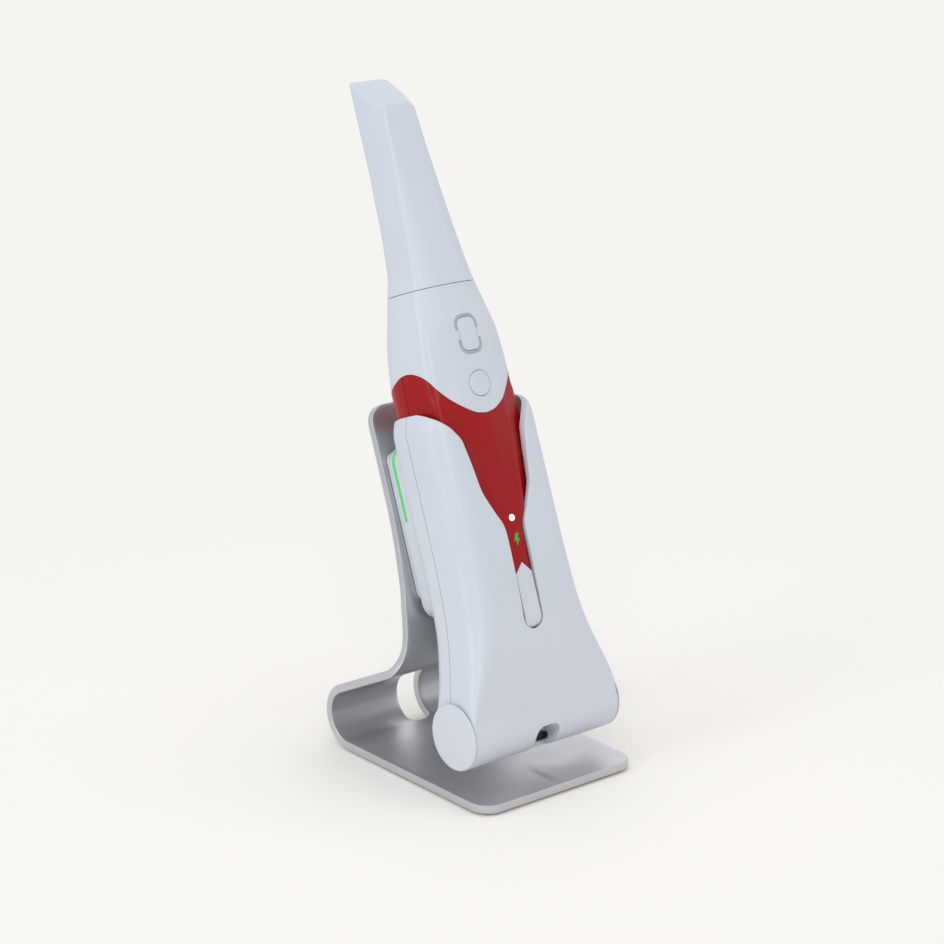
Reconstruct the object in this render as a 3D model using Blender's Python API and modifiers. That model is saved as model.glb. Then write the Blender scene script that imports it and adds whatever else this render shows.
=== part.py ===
"""Wireless intraoral scanner that stands in its charging dock on a bent sheet stand.

World: X to the right, -Y to the front, +Z up, the origin under the middle of the whole.
Stand: the same directions, with the base plate's front edge at y = 0.
Cradle: a frame leaning back about the dock's foot barrel. Its z is called u (up along the
scanner) and its y is called v (towards the back), so front surfaces have negative v.
"""
import math

import bmesh
import bpy
from mathutils import Matrix

# Clearances
GAP = 0.0003
PRESS_GAP = 0.0003
BUTTON_GAP = 0.00025
SLOT_CLEAR = 0.0004

# Stand
SHEET = 0.003
BASE_WIDTH = 0.070
BASE_CORNER = 0.0075
BEND_REACH = 0.0772
BEND_RADIUS = 0.0092
RAMP_ANGLE = math.radians(25.8)
FOLD_RADIUS = 0.007
NECK_WIDTH = 0.047
UPRIGHT_WIDTH = 0.0366
UPRIGHT_TOP = 0.117
UPRIGHT_CORNER = 0.0065
CABLE_SLOT_WIDTH = 0.0097
PAD_RADIUS = 0.0045
PAD_THICKNESS = 0.0014
PAD_POCKET = 0.0006
PAD_INSET = 0.0095

# Whole
OVERALL_DEPTH = 0.1070

# Cradle frame
LEAN = math.radians(20.5)
BARREL_Y = 0.019
BARREL_LIFT = 0.0077

# Scanner handle and nose
TAIL_U = 0.0150
TAIL_WIDTH = 0.0286
WAIST_U = 0.058
WAIST_WIDTH = 0.0368
RIDGE_END_U = 0.0306
RIDGE_WIDTH = 0.0074
HANDLE_WIDTH = 0.042
HANDLE_FRONT = 0.0165
HANDLE_BACK = 0.0163
HANDLE_WALL = 0.0018
PEAK_U = 0.1243
PARTING_DROP = 0.0190
PARTING_DROP_BACK = 0.0080
SEAM_U = 0.1517
SEAM_WIDTH = 0.0300
SEAM_FRONT = 0.0141
SEAM_BACK = 0.0117

# Tip
TIP_LENGTH = 0.0755
TIP_WIDTH = 0.0166
TIP_FRONT = 0.0062
TIP_BACK = 0.0090
TIP_WALL = 0.0016
TIP_SLOPE = math.radians(39.5)
WINDOW_WIDTH = 0.0112
WINDOW_LENGTH = 0.0150
MIRROR_THICKNESS = 0.0010

# Dock
DOCK_WALL = 0.0020
DOCK_FIT_SIDE = 0.0012
DOCK_FIT_BACK = 0.0006
RIDGE_SINK = 0.0006
RIM_U = 0.1103
RIM_TAPER = 0.0070
RIM_CLOSE = 0.0021
RIM_DROP_BACK = 0.0040
RIM_CLEAR = 0.0004
SHOULDER_U = 0.0985
BARREL_RADIUS = 0.0118
BARREL_WIDTH = 0.067
CAP_THICKNESS = 0.0012
CAP_RIM = 0.0005
NOTCH_WIDTH = 0.0100
NOTCH_TOP = 0.0041
DOCK_BOARD_V = -0.0002

# Receiver
RECEIVER_WIDTH = 0.034
RECEIVER_LOW = 0.039
RECEIVER_TOP = 0.1012
RECEIVER_CORNER = 0.0035
RECEIVER_WALL = 0.0012
RECEIVER_BOARD_CLEAR = 0.0014
CASE_DEPTH = 0.0040
COVER_DEPTH = 0.0018
COVER_LOW = 0.0465
LIGHT_LOW = 0.074
LIGHT_WIDTH = 0.0015
LIGHT_DEPTH = 0.0009
LIGHT_HOOK = 0.0060

# Buttons and lights
SCAN_U = 0.1340
SCAN_WIDTH = 0.0074
SCAN_LENGTH = 0.0118
RING_WIDTH = 0.0010
RING_OPENING = 0.0034
POWER_U = 0.1161
POWER_RADIUS = 0.0047
BUTTON_PROUD = 0.0004
BUTTON_DEPTH = 0.0016
BUTTON_FLANGE = 0.0008
BUTTON_TRAVEL = 0.0005
STATUS_U = 0.0687
STATUS_RADIUS = 0.0015
CHARGE_U = 0.0609
CHARGE_HEIGHT = 0.0050
INLAY_TIP_U = 0.0530
INLAY_WIDTH = 0.0058
INLAY_PROUD = 0.0004
INLAY_THICKNESS = 0.0010

# Inner pieces
BATTERY_RADIUS = 0.0085
BATTERY_LENGTH = 0.0590
BATTERY_U = 0.0410
BOARD = 0.0012
PIN_RADIUS = 0.0009
PIN_PITCH = 0.0070
NOSE_TUBE_LOW = 0.1415
NOSE_TUBE_TOP = 0.1900
NOSE_WALL = 0.0012
LENS_RADIUS = 0.0036
SCREW_RADIUS = 0.0010

# Places along the scanner and in depth
FLOOR_LOW = 0.0105
FLOOR_TOP = 0.0190
SEAT_GAP = 0.0004
STUD_RADIUS = 0.0022
RECESS_WALL = 0.0008
CONTACT_RADIUS = 0.0016
FRAME_V = -0.0084
FRAME_TOP = 0.1364
SWITCH_V = -0.0116
FLANGE_V = -0.0128
RING_DEPTH = 0.0010
NOSE_INSET = 0.0021
LENS_PITCH = 0.0086
LENS_V = -0.0010
LENS_TOP = 0.1660
TIP_FACE_U = 0.2212
WINDOW_U = 0.2165

# Derived places
SLOT_WIDTH = RIDGE_WIDTH + 2 * SLOT_CLEAR
SLOT_END_U = RIDGE_END_U - 2 * SLOT_CLEAR
DOCK_WIDTH = HANDLE_WIDTH + 2 * (DOCK_FIT_SIDE + DOCK_WALL)
DOCK_FRONT = HANDLE_FRONT + RIDGE_SINK
DOCK_BACK = HANDLE_BACK + DOCK_FIT_BACK + DOCK_WALL
CASE_V = DOCK_BACK + GAP
COVER_V = CASE_V + CASE_DEPTH + GAP
UPRIGHT_V = COVER_V + COVER_DEPTH + GAP
BASE_LOW = PAD_THICKNESS - PAD_POCKET
BASE_TOP = BASE_LOW + SHEET
BARREL_Z = BASE_TOP + BARREL_LIFT + BARREL_RADIUS
TIP_END_U = SEAM_U + TIP_LENGTH

PARTS = bpy.data.collections.new("intraoral_scanner")
CUTTERS = bpy.data.collections.new("cutters")


def clear_scene():
    """Removes what the scene holds and links the two collections."""
    for item in list(bpy.data.objects):
        bpy.data.objects.remove(item, do_unlink=True)
    bpy.context.scene.collection.children.link(PARTS)
    bpy.context.scene.collection.children.link(CUTTERS)


def material(name, colour, roughness, metallic=0.0):
    """A Principled material with one colour."""
    made = bpy.data.materials.new(name)
    made.use_nodes = True
    shader = made.node_tree.nodes["Principled BSDF"]
    shader.inputs["Base Color"].default_value = (*colour, 1.0)
    shader.inputs["Roughness"].default_value = roughness
    shader.inputs["Metallic"].default_value = metallic
    return made


WHITE = (0.62, 0.65, 0.70)
RED = (0.45, 0.02, 0.03)
ALUMINIUM = (0.60, 0.61, 0.63)
BLACK = (0.03, 0.03, 0.035)
BOARD_GREEN = (0.02, 0.16, 0.08)
GOLD = (0.80, 0.58, 0.22)
STEEL = (0.50, 0.51, 0.53)
GLASS = (0.55, 0.62, 0.66)


def empty(name, parent=None, matrix=None):
    """An empty that carries the pieces of one group."""
    made = bpy.data.objects.new(name, None)
    PARTS.objects.link(made)
    made.parent = parent
    if matrix:
        made.matrix_basis = matrix
    return made


def finish_part(obj, name, parent, look):
    """Names a piece, gives it its own material and shades its round sides."""
    obj.name = name
    obj.data.name = name
    obj.parent = parent
    colour, roughness, metallic = look
    obj.data.materials.clear()
    obj.data.materials.append(material(name, colour, roughness, metallic))
    obj.data.shade_smooth()
    obj.data.set_sharp_from_angle(angle=math.radians(32))
    return obj


def as_cutter(obj, parent):
    """Turns an object into a cutter of the hidden collection."""
    obj.parent = parent
    obj.display_type = "WIRE"
    obj.hide_render = True
    for held in list(obj.users_collection):
        held.objects.unlink(obj)
    CUTTERS.objects.link(obj)
    return obj


def from_bmesh(mesh, name="piece"):
    """An object of the parts collection made from a bmesh."""
    data = bpy.data.meshes.new(name)
    bmesh.ops.recalc_face_normals(mesh, faces=mesh.faces)
    mesh.to_mesh(data)
    mesh.free()
    made = bpy.data.objects.new(name, data)
    PARTS.objects.link(made)
    return made


def block(low, high):
    """A box between two corners."""
    mesh = bmesh.new()
    bmesh.ops.create_cube(mesh, size=1.0)
    size = [h - l for l, h in zip(low, high)]
    bmesh.ops.scale(mesh, vec=size, verts=mesh.verts)
    bmesh.ops.translate(mesh, vec=[(l + h) / 2 for l, h in zip(low, high)], verts=mesh.verts)
    return from_bmesh(mesh)


def rod(radius, depth, centre, axis="Z", segments=24, top_radius=None):
    """A cylinder or cone with caps, centred, along one axis."""
    mesh = bmesh.new()
    top = radius if top_radius is None else top_radius
    bmesh.ops.create_cone(
        mesh, cap_ends=True, segments=segments, radius1=radius, radius2=top, depth=depth)
    turn = {"X": Matrix.Rotation(math.pi / 2, 4, "Y"), "Z": Matrix.Identity(4),
            "Y": Matrix.Rotation(-math.pi / 2, 4, "X")}[axis]
    half_step = Matrix.Rotation(math.pi / segments, 4, "Z")
    bmesh.ops.transform(mesh, matrix=Matrix.Translation(centre) @ turn @ half_step, verts=mesh.verts)
    return from_bmesh(mesh)


def turned(profile, centre, axis="Z", steps=24):
    """A turned piece: profile points are (radius, height) down the outer side."""
    mesh = bmesh.new()
    points = [mesh.verts.new((radius, 0, height)) for radius, height in profile]
    for first, second in zip(points, points[1:]):
        mesh.edges.new((first, second))
    data = bpy.data.meshes.new("profile")
    mesh.to_mesh(data)
    mesh.free()
    made = bpy.data.objects.new("profile", data)
    PARTS.objects.link(made)
    screw = made.modifiers.new("turn", "SCREW")
    screw.steps = steps
    screw.render_steps = steps
    screw.use_merge_vertices = True
    screw.merge_threshold = 0.00001
    made.location = centre
    if axis == "Y":
        made.rotation_euler = (math.pi / 2, 0, 0)
    return made


def plate(outlines, thickness, place):
    """Flat outlines given thickness. They lie in x and u and are centred on v = place."""
    curve = bpy.data.curves.new("outline", "CURVE")
    curve.dimensions = "2D"
    curve.fill_mode = "BOTH"
    curve.extrude = thickness / 2
    for outline in outlines:
        spline = curve.splines.new("POLY")
        spline.points.add(len(outline) - 1)
        for point, (x, height) in zip(spline.points, outline):
            point.co = (x, height, 0, 1)
        spline.use_cyclic_u = True
    holder = bpy.data.objects.new("outline", curve)
    PARTS.objects.link(holder)
    bpy.context.view_layer.update()
    shown = holder.evaluated_get(bpy.context.evaluated_depsgraph_get())
    data = bpy.data.meshes.new_from_object(shown)
    bpy.data.objects.remove(holder)
    mesh = bmesh.new()
    mesh.from_mesh(data)
    bmesh.ops.remove_doubles(mesh, verts=mesh.verts, dist=0.000001)
    turn = Matrix.Translation((0, place, 0)) @ Matrix.Rotation(math.pi / 2, 4, "X")
    bmesh.ops.transform(mesh, matrix=turn, verts=mesh.verts)
    return from_bmesh(mesh)


def loft(rings, cap_start=True, cap_end=True):
    """A closed body through rings that have the same number of points."""
    mesh = bmesh.new()
    rows = [[mesh.verts.new(point) for point in ring] for ring in rings]
    count = len(rows[0])
    for low, high in zip(rows, rows[1:]):
        for index in range(count):
            after = (index + 1) % count
            mesh.faces.new((low[index], low[after], high[after], high[index]))
    if cap_start:
        mesh.faces.new(list(reversed(rows[0])))
    if cap_end:
        mesh.faces.new(rows[-1])
    return from_bmesh(mesh)


def boolean(obj, tool, operation):
    """Adds one exact Boolean modifier."""
    step = obj.modifiers.new(operation.lower(), "BOOLEAN")
    step.operation = operation
    step.solver = "EXACT"
    step.object = tool
    return obj


def cut(obj, tool, parent):
    """Cuts a tool out of a piece. The tool becomes a hidden cutter."""
    if CUTTERS.objects.get(tool.name) is None:
        as_cutter(tool, parent)
    return boolean(obj, tool, "DIFFERENCE")


def round_edges(obj, width, segments=2, angle=40):
    """Rounds the sharp edges of a piece."""
    step = obj.modifiers.new("round", "BEVEL")
    step.width = width
    step.segments = segments
    step.limit_method = "ANGLE"
    step.angle_limit = math.radians(angle)
    return obj


def stadium(width, length, centre_u, steps=7):
    """Outline of a slot with half-round ends, long side along u."""
    radius = width / 2
    reach = max(length / 2 - radius, 0)
    points = []
    for side, start in ((1, 0), (-1, math.pi)):
        for index in range(steps + 1):
            angle = start + math.pi * index / steps
            points.append((radius * math.cos(angle), centre_u + side * reach + radius * math.sin(angle)))
    return points


def rounded_box(width, low, high, corner, steps=4):
    """Outline of an upright rectangle with round corners."""
    points = []
    centres = ((1, high), (-1, high), (-1, low), (1, low))
    for turn, (side, level) in enumerate(centres):
        inward = -corner if level == high else corner
        for index in range(steps + 1):
            angle = math.pi / 2 * (turn + index / steps)
            points.append((side * (width / 2 - corner) + corner * math.cos(angle),
                           level + inward + corner * math.sin(angle)))
    return points


def blend(stations, at):
    """Reads a list of stations (place, values...) along a smooth curve."""
    if at <= stations[0][0]:
        return stations[0][1:]
    if at >= stations[-1][0]:
        return stations[-1][1:]
    index = max(i for i, row in enumerate(stations) if row[0] <= at)
    low, high = stations[index], stations[index + 1]
    span = high[0] - low[0]
    share = (at - low[0]) / span
    before = stations[index - 1] if index > 0 else low
    after = stations[index + 2] if index + 2 < len(stations) else high
    values = []
    for k in range(1, len(low)):
        slope = (high[k] - low[k]) / span
        first = slope if before is low else (low[k] - before[k]) / (low[0] - before[0])
        last = slope if after is high else (after[k] - high[k]) / (after[0] - high[0])
        start = 0 if first * slope <= 0 else 2 * first * slope / (first + slope)
        end = 0 if last * slope <= 0 else 2 * last * slope / (last + slope)
        s2, s3 = share ** 2, share ** 3
        values.append((2 * s3 - 3 * s2 + 1) * low[k] + (s3 - 2 * s2 + share) * span * start
                      + (3 * s2 - 2 * s3) * high[k] + (s3 - s2) * span * end)
    return values


def corner_points(before, corner, after, radius, steps):
    """Points of a rounded corner between two straight sides."""
    into = (corner[0] - before[0], corner[1] - before[1])
    out = (after[0] - corner[0], after[1] - corner[1])
    size_in, size_out = math.hypot(*into), math.hypot(*out)
    turn = abs(math.atan2(into[0] * out[1] - into[1] * out[0], into[0] * out[0] + into[1] * out[1]))
    reach = min(radius * math.tan(turn / 2), 0.45 * size_in, 0.45 * size_out)
    start = [corner[k] - into[k] / size_in * reach for k in (0, 1)]
    end = [corner[k] + out[k] / size_out * reach for k in (0, 1)]
    points = []
    for index in range(steps + 1):
        t = index / steps
        points.append([(1 - t) ** 2 * start[k] + 2 * t * (1 - t) * corner[k] + t * t * end[k]
                       for k in (0, 1)])
    return points


def ring_points(corners, radii, steps):
    """A symmetric ring in x and v. Corners run from the front centre to the back centre."""
    half = [[0.0, corners[0][1]]]
    for index in range(1, len(corners) - 1):
        half += corner_points(corners[index - 1], corners[index], corners[index + 1],
                              radii[index], steps[index])
    half.append([0.0, corners[-1][1]])
    mirrored = [[-x, v] for x, v in reversed(half[1:-1])]
    return half + mirrored


def inset_corners(corners, amount):
    """Moves the sides of a half outline inwards by a wall."""
    moved = []
    whole = [(-corners[1][0], corners[1][1])] + list(corners) + [(-corners[-2][0], corners[-2][1])]
    for before, here, after in zip(whole, whole[1:], whole[2:]):
        normals = []
        for first, second in ((before, here), (here, after)):
            along = (second[0] - first[0], second[1] - first[1])
            size = math.hypot(*along)
            normals.append((-along[1] / size, along[0] / size))
        total = (normals[0][0] + normals[1][0], normals[0][1] + normals[1][1])
        scale = amount * 2 / (total[0] ** 2 + total[1] ** 2)
        moved.append((here[0] + total[0] * scale, here[1] + total[1] * scale))
    moved[0] = (0.0, moved[0][1])
    moved[-1] = (0.0, moved[-1][1])
    return moved


# Stations of the scanner: u, front centre, front inside the ridge, ridge half width and depth,
# foot of the ridge, cheek edge, half width, back corner and its radius.
def scanner_stations():
    """The scanner's form, from the tail to the tip's end."""
    ridge = RIDGE_WIDTH / 2
    tail = TAIL_WIDTH / 2
    waist = WAIST_WIDTH / 2
    grip = HANDLE_WIDTH / 2
    seam = SEAM_WIDTH / 2
    tip = TIP_WIDTH / 2
    front = HANDLE_FRONT
    back = HANDLE_BACK
    deep = front - 0.0036
    flank = front - 0.0021
    end = RIDGE_END_U
    return [
        (TAIL_U, -.0066, -.0066, .0015, -.0066, .0030, -.0065,
         .0066, -.0056, tail - .0052, tail - .0052, .0060, .003),
        (TAIL_U + .0006, -.0085, -.0085, .0018, -.0085, .0034, -.0084,
         .0082, -.0072, tail - .0034, tail - .0034, .0076, .004),
        (TAIL_U + .0028, -.0104, -.0104, .0020, -.0104, .0036, -.0103,
         .0098, -.0088, tail - .0014, tail - .0014, .0092, .005),
        (TAIL_U + .0090, -.0117, -.0117, .0020, -.0117, .0038, -.0116,
         .0110, -.0098, tail, tail, .0104, .006),
        (end - .0009, -deep, -deep, .0014, -deep, .0028, -deep,
         .0120, -.0104, tail + .0009, tail + .0009, .0112, .007),
        (end, -.0148, -deep, .0016, -.0147, .0026, -deep,
         .0121, -.0104, tail + .0010, tail + .0010, .0113, .007),
        (end + .0006, -.0157, -deep, .0024, -.0156, .0031, -.0132,
         .0122, -.0105, tail + .0011, tail + .0011, .0114, .007),
        (end + .0020, -.0158, -.0136, .0032, -.0157, .0034, -.0135,
         .0123, -.0106, tail + .0013, tail + .0013, .0116, .0075),
        (end + .0040, -.0159, -.0139, ridge - .0002, -.0158, ridge - .0001, -.0138,
         .0126, -.0108, tail + .0016, tail + .0016, .0119, .008),
        (WAIST_U - .004, -.0162, -.0143, ridge - .0001, -.0161, ridge, -.0142,
         .0142, -.0114, waist - .0006, waist - .0006, .0148, .0115),
        (WAIST_U + .006, -front, -flank, ridge + .0000, -.0163, ridge + .0003, -.0144,
         .0148, -.0117, waist + .0004, waist + .0004, back - .0009, .0125),
        (WAIST_U + .012, -front, -.0150, .0055, -.0164, .0077, -.0145,
         .0154, -.0118, grip - .0017, grip - .0017, back - .0006, .013),
        (WAIST_U + .022, -front, -.0154, .0070, -.0164, .0106, -.0143,
         .0161, -.0117, grip - .0010, grip - .0010, back - .0004, .0135),
        (SHOULDER_U - .0055, -front, -.0157, .0084, -.0161, .0122, -.0141,
         .0168, -.0116, grip - .0004, grip - .0004, back - .0002, .0145),
        (PEAK_U - .0193, -front + .0007, -.0157, .0087, -.0151, .0128, -.0136,
         .0171, -.0113, grip, grip, back, .015),
        (PEAK_U - .0053, -front + .0008, -.0157, .0086, -.0146, .0128, -.0130,
         .0172, -.0111, grip - .0001, grip - .0001, back + .0002, .0155),
        (SEAM_U - .0277, -front + .0008, -.0157, .0086, -.0146, .0128, -.0131,
         .0170, -.0111, grip - .0005, grip - .0005, back - .0002, .0155),
        (SEAM_U - .0177, -.0156, -.0156, .0082, -.0145, .0122, -.0131,
         .0163, -.0110, grip - .0018, grip - .0020, back - .0012, .014),
        (SEAM_U - .0077, -.0150, -.0150, .0074, -.0136, .0110, -.0119,
         .0147, -.0099, seam + .0020, seam + .0016, SEAM_BACK + .0009, .011),
        (SEAM_U, -SEAM_FRONT, -SEAM_FRONT, .0066, -.0128, .0098, -.0113,
         .0131, -.0093, seam, seam - .0004, SEAM_BACK, .009),
        (SEAM_U + .0080, -SEAM_FRONT + .0010, -SEAM_FRONT + .0010, .0059, -.0120, .0088, -.0107,
         .0117, -.0089, seam - .0020, seam - .0024, SEAM_BACK - .0011, .007),
        (SEAM_U + .0272, -.0108, -.0108, .0048, -.0100, .0073, -.0090,
         .0097, -.0077, tip + .0022, tip + .0020, TIP_BACK + .0002, .004),
        (SEAM_U + .0430, -.0088, -.0088, .0041, -.0083, .0062, -.0078,
         .0083, -.0070, tip + .0007, tip + .0008, TIP_BACK, .003),
        (TIP_END_U - .0105, -TIP_FRONT, -TIP_FRONT, .0031, -TIP_FRONT, .0046, -TIP_FRONT + .0001,
         .0062, -TIP_FRONT + .0001, tip - .0004, tip + .0003, TIP_BACK, .0022),
        (TIP_END_U, -TIP_FRONT + .0010, -TIP_FRONT + .0010, .0028, -TIP_FRONT + .0010, .0042,
         -TIP_FRONT + .0011, .0058, -TIP_FRONT + .0011, tip - .0008, tip - .0001, TIP_BACK, .0022),
    ]


STATIONS = scanner_stations()
RING_STEPS = [0, 1, 1, 2, 1, 4, 0]


def scanner_ring(u, inset=0.0, tilt=None):
    """One ring of the scanner. With an inset it is the inner wall, which has no ridge."""
    front, core, fx, fv, gx, gv, ax, av, half, back_half, back, radius = blend(STATIONS, u)
    if inset:
        front = core
        fv = core + (gv - core) * (fx / gx) ** 2
    corners = [(0, front), (fx, fv), (gx, gv), (ax, av), (half, 0), (back_half, back), (0, back)]
    if inset:
        corners = inset_corners(corners, inset)
    soft = max(radius - inset, 0.001)
    radii = [0, .0006, .0012, .003, .02, soft, 0]
    if inset:
        radii[1:3] = [.004, .004]
    ring = ring_points(corners, radii, RING_STEPS)
    height = tilt if tilt else (lambda v: u)
    return [(x, v, height(v)) for x, v in ring]


def scanner_body(places, inset=0.0):
    """A closed body of the scanner through the given heights."""
    return loft([scanner_ring(u, inset) for u in places])


def spread(low, high, count):
    """Evenly spaced heights, both ends included."""
    return [low + (high - low) * index / (count - 1) for index in range(count)]


def handle_heights(top):
    """Heights of the handle's rings, close together at the tail and the ridge's end."""
    close = [TAIL_U, TAIL_U + .0006, TAIL_U + .0015, TAIL_U + .0028, TAIL_U + .0055, TAIL_U + .0090]
    ridge = [RIDGE_END_U + step for step in (-.0009, -.0004, 0, .0003, .0006, .0012, .0020, .0040)]
    return close + ridge + spread(RIDGE_END_U + .009, WAIST_U, 4)[:-1] + spread(WAIST_U, top, 17)


def dock_stations():
    """The dock's form: u, half width, front, back, front corner and back corner radius."""
    foot = BARREL_WIDTH / 2
    half = DOCK_WIDTH / 2
    return [
        (0, foot, BARREL_RADIUS, BARREL_RADIUS, .0010, .0010),
        (.004, foot - .0003, .0122, .0119, .0012, .0016),
        (.0095, foot - .0019, .0133, .0120, .0034, .0040),
        (.0210, half + .0044, .0149, .0138, .0074, .0085),
        (.0300, half + .0024, .0158, .0152, .0086, .0110),
        (.0400, half + .0011, .0164, .0170, .0092, .0135),
        (WAIST_U, half + .0002, DOCK_FRONT, DOCK_BACK - .0003, .0094, .016),
        (RIM_U - RIM_TAPER, half, DOCK_FRONT - .0002, DOCK_BACK, .0094, .017),
        (RIM_U, half - RIM_CLOSE, DOCK_FRONT - .0006, DOCK_BACK - .0003, .0094, .0165),
    ]


DOCK = dock_stations()
DOCK_STEPS = [0, 4, 1, 5, 0]


def dock_ring(u, inset=0.0):
    """One ring of the dock. Below the barrel's axis it follows the barrel."""
    if u < 0:
        round_v = math.sqrt(max((BARREL_RADIUS - inset) ** 2 - u * u, 0.0))
        half = BARREL_WIDTH / 2 - inset
        front = back = round_v
        corner = back_corner = min(.0010, round_v * 0.4)
    else:
        half, front, back, corner, back_corner = blend(DOCK, u)
        half, front, back = half - inset, front - inset, back - inset
        if inset and u > WAIST_U:
            half = max(half, HANDLE_WIDTH / 2 + RIM_CLEAR)
        corner, back_corner = max(corner - inset, .0008), max(back_corner - inset, .0008)
    corners = [(0, -front), (half, -front), (half, 0), (half, back), (0, back)]
    ring = ring_points(corners, [0, corner, .001, back_corner, 0], DOCK_STEPS)
    return [(x, v, u) for x, v in ring]


def dock_body(inset=0.0, top=RIM_U):
    """A closed body of the dock, from the barrel's underside to the rim."""
    radius = BARREL_RADIUS - inset
    angles = [math.radians(a) for a in (8, 20, 32, 45, 58, 74)]
    low = [-radius * math.cos(angle) for angle in angles]
    high = [0, .004, .0095, .015, .021, .030, .040, .049] + spread(WAIST_U, RIM_U - RIM_TAPER, 5)
    high += [RIM_U - RIM_TAPER * .7, RIM_U - RIM_TAPER * .35, top] if top > WAIST_U else []
    high = [u for u in high if u <= top]
    return loft([dock_ring(u, inset) for u in low + high])


def cutout_half_width(u):
    """Half width of the dock's front cut-out, which follows the handle's cheeks."""
    slot = SLOT_WIDTH / 2
    rise = RIM_U - SHOULDER_U
    wide = DOCK_WIDTH / 2
    stations = [
        (WAIST_U + .004, slot), (WAIST_U + .0083, slot + .0014), (WAIST_U + .0108, slot + .0031),
        (WAIST_U + .0187, .0100), (SHOULDER_U - .0128, .0111), (SHOULDER_U - .0057, .0120),
        (SHOULDER_U, .0127), (SHOULDER_U + .25 * rise, .0147), (SHOULDER_U + .58 * rise, .0189),
        (SHOULDER_U + .80 * rise, .0215), (RIM_U, wide)]
    return blend(stations, u)[0]


def cutout_outline():
    """Outline of the dock's front opening, slot and flared top in one."""
    radius = SLOT_WIDTH / 2
    centre = SLOT_END_U + radius
    side = []
    for index in range(7):
        angle = -math.pi / 2 + math.pi / 2 * index / 6
        side.append((radius * math.cos(angle), centre + radius * math.sin(angle)))
    heights = [WAIST_U + .004] + spread(WAIST_U + .0075, SHOULDER_U, 9) + spread(SHOULDER_U, RIM_U, 8)[1:]
    side += [(cutout_half_width(u), u) for u in heights]
    side.append((DOCK_WIDTH / 2 + .002, RIM_U + .004))
    return side + [(-x, u) for x, u in reversed(side[1:])]


def rim_outline():
    """Side outline, in v and u, of what is cut off above the rim towards the back."""
    depths = spread(.0005, DOCK_BACK + .001, 9)
    reach = depths[-1] - depths[0]
    fall = [(v, RIM_U - RIM_DROP_BACK * ((v - depths[0]) / reach) ** 1.6) for v in depths]
    return fall + [(depths[-1], RIM_U + .006), (depths[0], RIM_U + .006)]


def parting_level(x, v):
    """Height of the line where the white nose meets the red handle."""
    share = min(abs(x) / (HANDLE_WIDTH / 2), 1.0) ** 1.45
    front_share = min(max(0.5 - v / .008, 0.0), 1.0)
    drop = PARTING_DROP * front_share + PARTING_DROP_BACK * (1 - front_share)
    return PEAK_U - drop * (1 - share)


def parting_block(offset, reach):
    """A block whose lower or upper face is the parting surface, moved by an offset."""
    far = PEAK_U + reach
    depths = [-.030, -.004, -.002, 0, .002, .004, .030]
    rings = []
    for x in spread(-.0303, .0303, 30):
        ring = [(x, v, parting_level(x, v) + offset) for v in depths]
        rings.append(ring + [(x, depths[-1], far), (x, depths[0], far)])
    return loft(rings)


def to_world(v, u):
    """World y and z of a point of the cradle."""
    return (BARREL_Y + v * math.cos(LEAN) + u * math.sin(LEAN),
            BARREL_Z - v * math.sin(LEAN) + u * math.cos(LEAN))


def sheet_path():
    """Centre line of the bent sheet as (y, z), and the lengths at which its stretches end."""
    middle = BASE_LOW + SHEET / 2
    bend = BEND_RADIUS + SHEET / 2
    fold = FOLD_RADIUS + SHEET / 2
    centre = (BEND_REACH, middle + bend)
    top_angle = math.pi / 2 - RAMP_ANGLE
    ramp_start = (centre[0] + bend * math.cos(top_angle), centre[1] + bend * math.sin(top_angle))
    ramp = (-math.cos(RAMP_ANGLE), math.sin(RAMP_ANGLE))
    rise = (math.sin(LEAN), math.cos(LEAN))
    foot = to_world(UPRIGHT_V + SHEET / 2, 0)
    cross = ramp[0] * rise[1] - ramp[1] * rise[0]
    away = (foot[0] - ramp_start[0], foot[1] - ramp_start[1])
    run = (away[0] * rise[1] - away[1] * rise[0]) / cross
    corner = (ramp_start[0] + ramp[0] * run, ramp_start[1] + ramp[1] * run)
    turn = math.pi - RAMP_ANGLE - (math.pi / 2 - LEAN)
    reach = fold * math.tan(turn / 2)
    top = to_world(UPRIGHT_V + SHEET / 2, UPRIGHT_TOP)
    fold_start = (corner[0] - ramp[0] * reach, corner[1] - ramp[1] * reach)
    normal = (ramp[1], -ramp[0])
    hub = (fold_start[0] + normal[0] * fold, fold_start[1] + normal[1] * fold)
    points = [(y, middle) for y in corner_rows(BASE_CORNER) + [BASE_CORNER + .012, BEND_REACH]]
    for index in range(1, 11):
        angle = -math.pi / 2 + (top_angle + math.pi / 2) * index / 10
        points.append((centre[0] + bend * math.cos(angle), centre[1] + bend * math.sin(angle)))
    bend_end = len(points) - 1
    for share in (0.33, 0.67, 1.0):
        points.append((ramp_start[0] + (fold_start[0] - ramp_start[0]) * share,
                       ramp_start[1] + (fold_start[1] - ramp_start[1]) * share))
    start_angle = math.atan2(-normal[1], -normal[0])
    for index in range(1, 8):
        angle = start_angle - turn * index / 7
        points.append((hub[0] + fold * math.cos(angle), hub[1] + fold * math.sin(angle)))
    fold_end = len(points) - 1
    last = points[-1]
    length = math.dist(last, top)
    stops = spread(0, length - UPRIGHT_CORNER, 9)[1:]
    stops += [length - y for y in reversed(corner_rows(UPRIGHT_CORNER)[:-1])]
    points += [(last[0] + rise[0] * stop, last[1] + rise[1] * stop) for stop in stops]
    lengths = [0.0]
    for first, second in zip(points, points[1:]):
        lengths.append(lengths[-1] + math.dist(first, second))
    return points, lengths, lengths[bend_end], lengths[fold_end]


def corner_rows(radius):
    """Distances from an end at which a round corner needs a row."""
    return [radius * (1 - math.cos(math.pi / 2 * index / 5)) for index in range(6)]


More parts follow.
